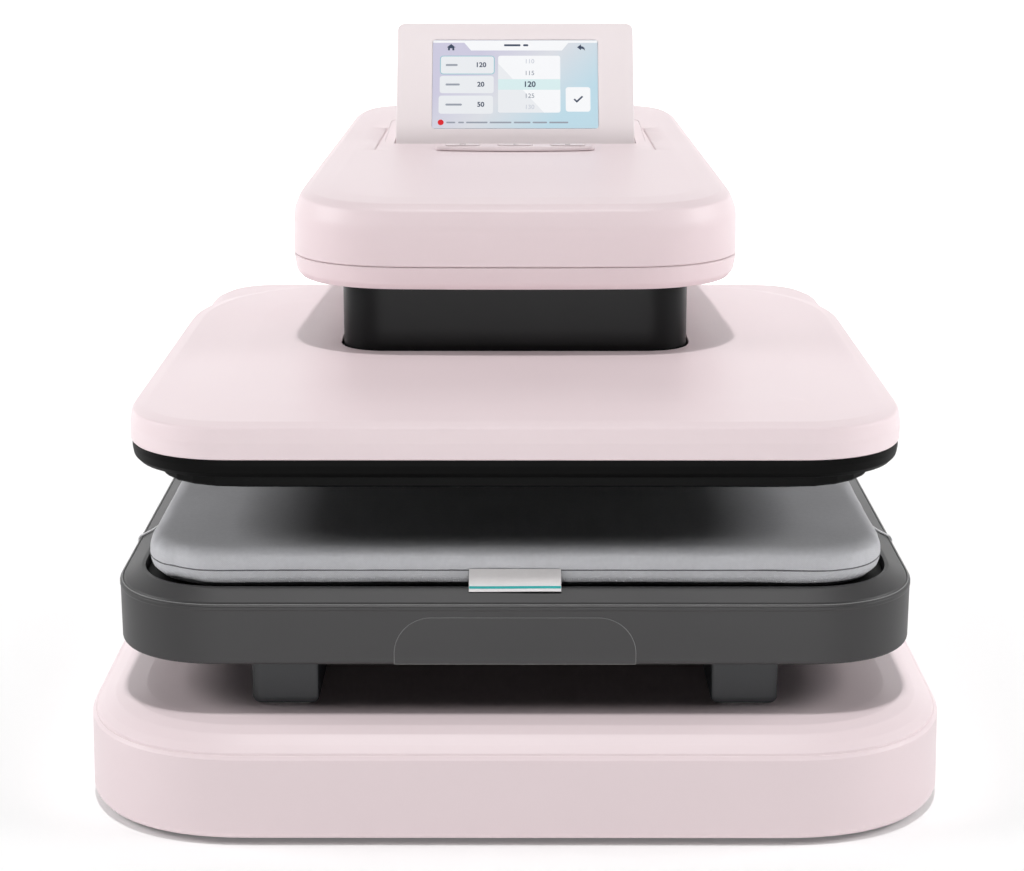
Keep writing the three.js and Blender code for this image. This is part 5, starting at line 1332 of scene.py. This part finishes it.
# %% Floor
SWEEP = ((-3.0, 0.0), (1.2, 0.0), (1.6, 0.03), (1.9, 0.16), (2.1, 0.4), (2.2, 0.8), (2.25, 3.0))
SWEEP_HALF = 4
GLOW_RANGE = {"From Min": 0.5, "From Max": 1.6, "To Min": 0.08, "To Max": 0.75}
floor_finish = finish("pale_floor", (0.88, 0.88, 0.88), 0.7, scale=300, depth=0.01, spread=0.01, edge=0)
floor_tree = floor_finish.node_tree
floor_shader = floor_tree.nodes["Principled BSDF"]
floor_shader.inputs["Emission Strength"].default_value = 1
floor_place = node(floor_tree, "ShaderNodeVectorMath", operation="LENGTH")
floor_tree.links.new(node(floor_tree, "ShaderNodeTexCoord").outputs["Object"], floor_place.inputs[0])
floor_glow = node(floor_tree, "ShaderNodeMapRange", interpolation_type="SMOOTHSTEP")
for title, value in GLOW_RANGE.items():
    floor_glow.inputs[title].default_value = value
floor_tree.links.new(floor_place.outputs["Value"], floor_glow.inputs["Value"])
floor_tree.links.new(floor_glow.outputs[0], floor_shader.inputs["Emission Color"])
floor_points = [(side * SWEEP_HALF, y, z) for y, z in SWEEP for side in (-1, 1)]
floor_faces = [(2 * row, 2 * row + 1, 2 * row + 3, 2 * row + 2) for row in range(len(SWEEP) - 1)]
floor_mesh = bpy.data.meshes.new("floor")
floor_mesh.from_pydata(floor_points, [], floor_faces)
floor = link_mesh("floor", floor_mesh)
floor.data.shade_smooth()
floor.data.materials.append(floor_finish)
print("floor: a sweep of", len(floor_faces), "strips")

# %% [markdown]
# ## Lights
# Four lights give the photograph's look; how it was really lit isn't known. A distant one straight
# above gives the tops their tone and casts the crisp shadows of the head and the tray. Two at the
# sides, about 28 degrees up, reach a little way into the gap above the pad and leave its middle
# black. A low one in front lights the fronts, but only grazes the pad. The floor sends much of it
# back up.

# %% Lights
def add_lamp(name, kind, power, place):
    light = bpy.data.lights.new(name, kind)
    light.energy = power
    lamp = bpy.data.objects.new(name, light)
    lamp.location = place
    bpy.context.scene.collection.objects.link(lamp)
    return lamp


def softbox(name, place, target, size, power):
    """A rectangular light that faces a point."""
    lamp = add_lamp(name, "AREA", power, place)
    lamp.data.shape = "RECTANGLE"
    lamp.data.size, lamp.data.size_y = size
    lamp.rotation_euler = (Vector(target) - Vector(place)).to_track_quat("-Z", "Y").to_euler()


for side, hand in zip((-1, 1), HANDS):
    softbox(f"{hand}_light", (side * 1.5, -0.25, 0.96), (0, -0.1, 0.15), (0.9, 0.5), 13.2)
softbox("front_light", (0, -2.4, 0.1), (0, -0.3, 0.1), (1.8, 0.14), 16)
add_lamp("top_light", "SUN", 1.38, (0, -0.4, 2)).data.angle = math.radians(4)
print("lights:", len(bpy.data.lights))

# %% [markdown]
# ## Air
# The room's own light is almost nothing, so that the gaps of the press stay dark. Only where the
# camera looks straight past the press is the air white, like the paper of a catalogue page.

# %% Air
DIM_AIR = 0.02
world = bpy.data.worlds.new("studio_air")
bpy.context.scene.world = world
world.use_nodes = True
air_tree = world.node_tree
air = node(air_tree, "ShaderNodeMixShader")
for index, strength in ((1, DIM_AIR), (2, 1)):
    shade = node(air_tree, "ShaderNodeBackground")
    shade.inputs["Color"].default_value = (1, 1, 1, 1)
    shade.inputs["Strength"].default_value = strength
    air_tree.links.new(shade.outputs[0], air.inputs[index])
air_tree.links.new(node(air_tree, "ShaderNodeLightPath").outputs["Is Camera Ray"], air.inputs[0])
air_tree.links.new(air.outputs[0], air_tree.nodes["World Output"].inputs["Surface"])
air_tree.nodes.remove(air_tree.nodes["Background"])
bpy.context.scene.view_settings.view_transform = "Standard"
print("air:", len(air_tree.nodes), "nodes")
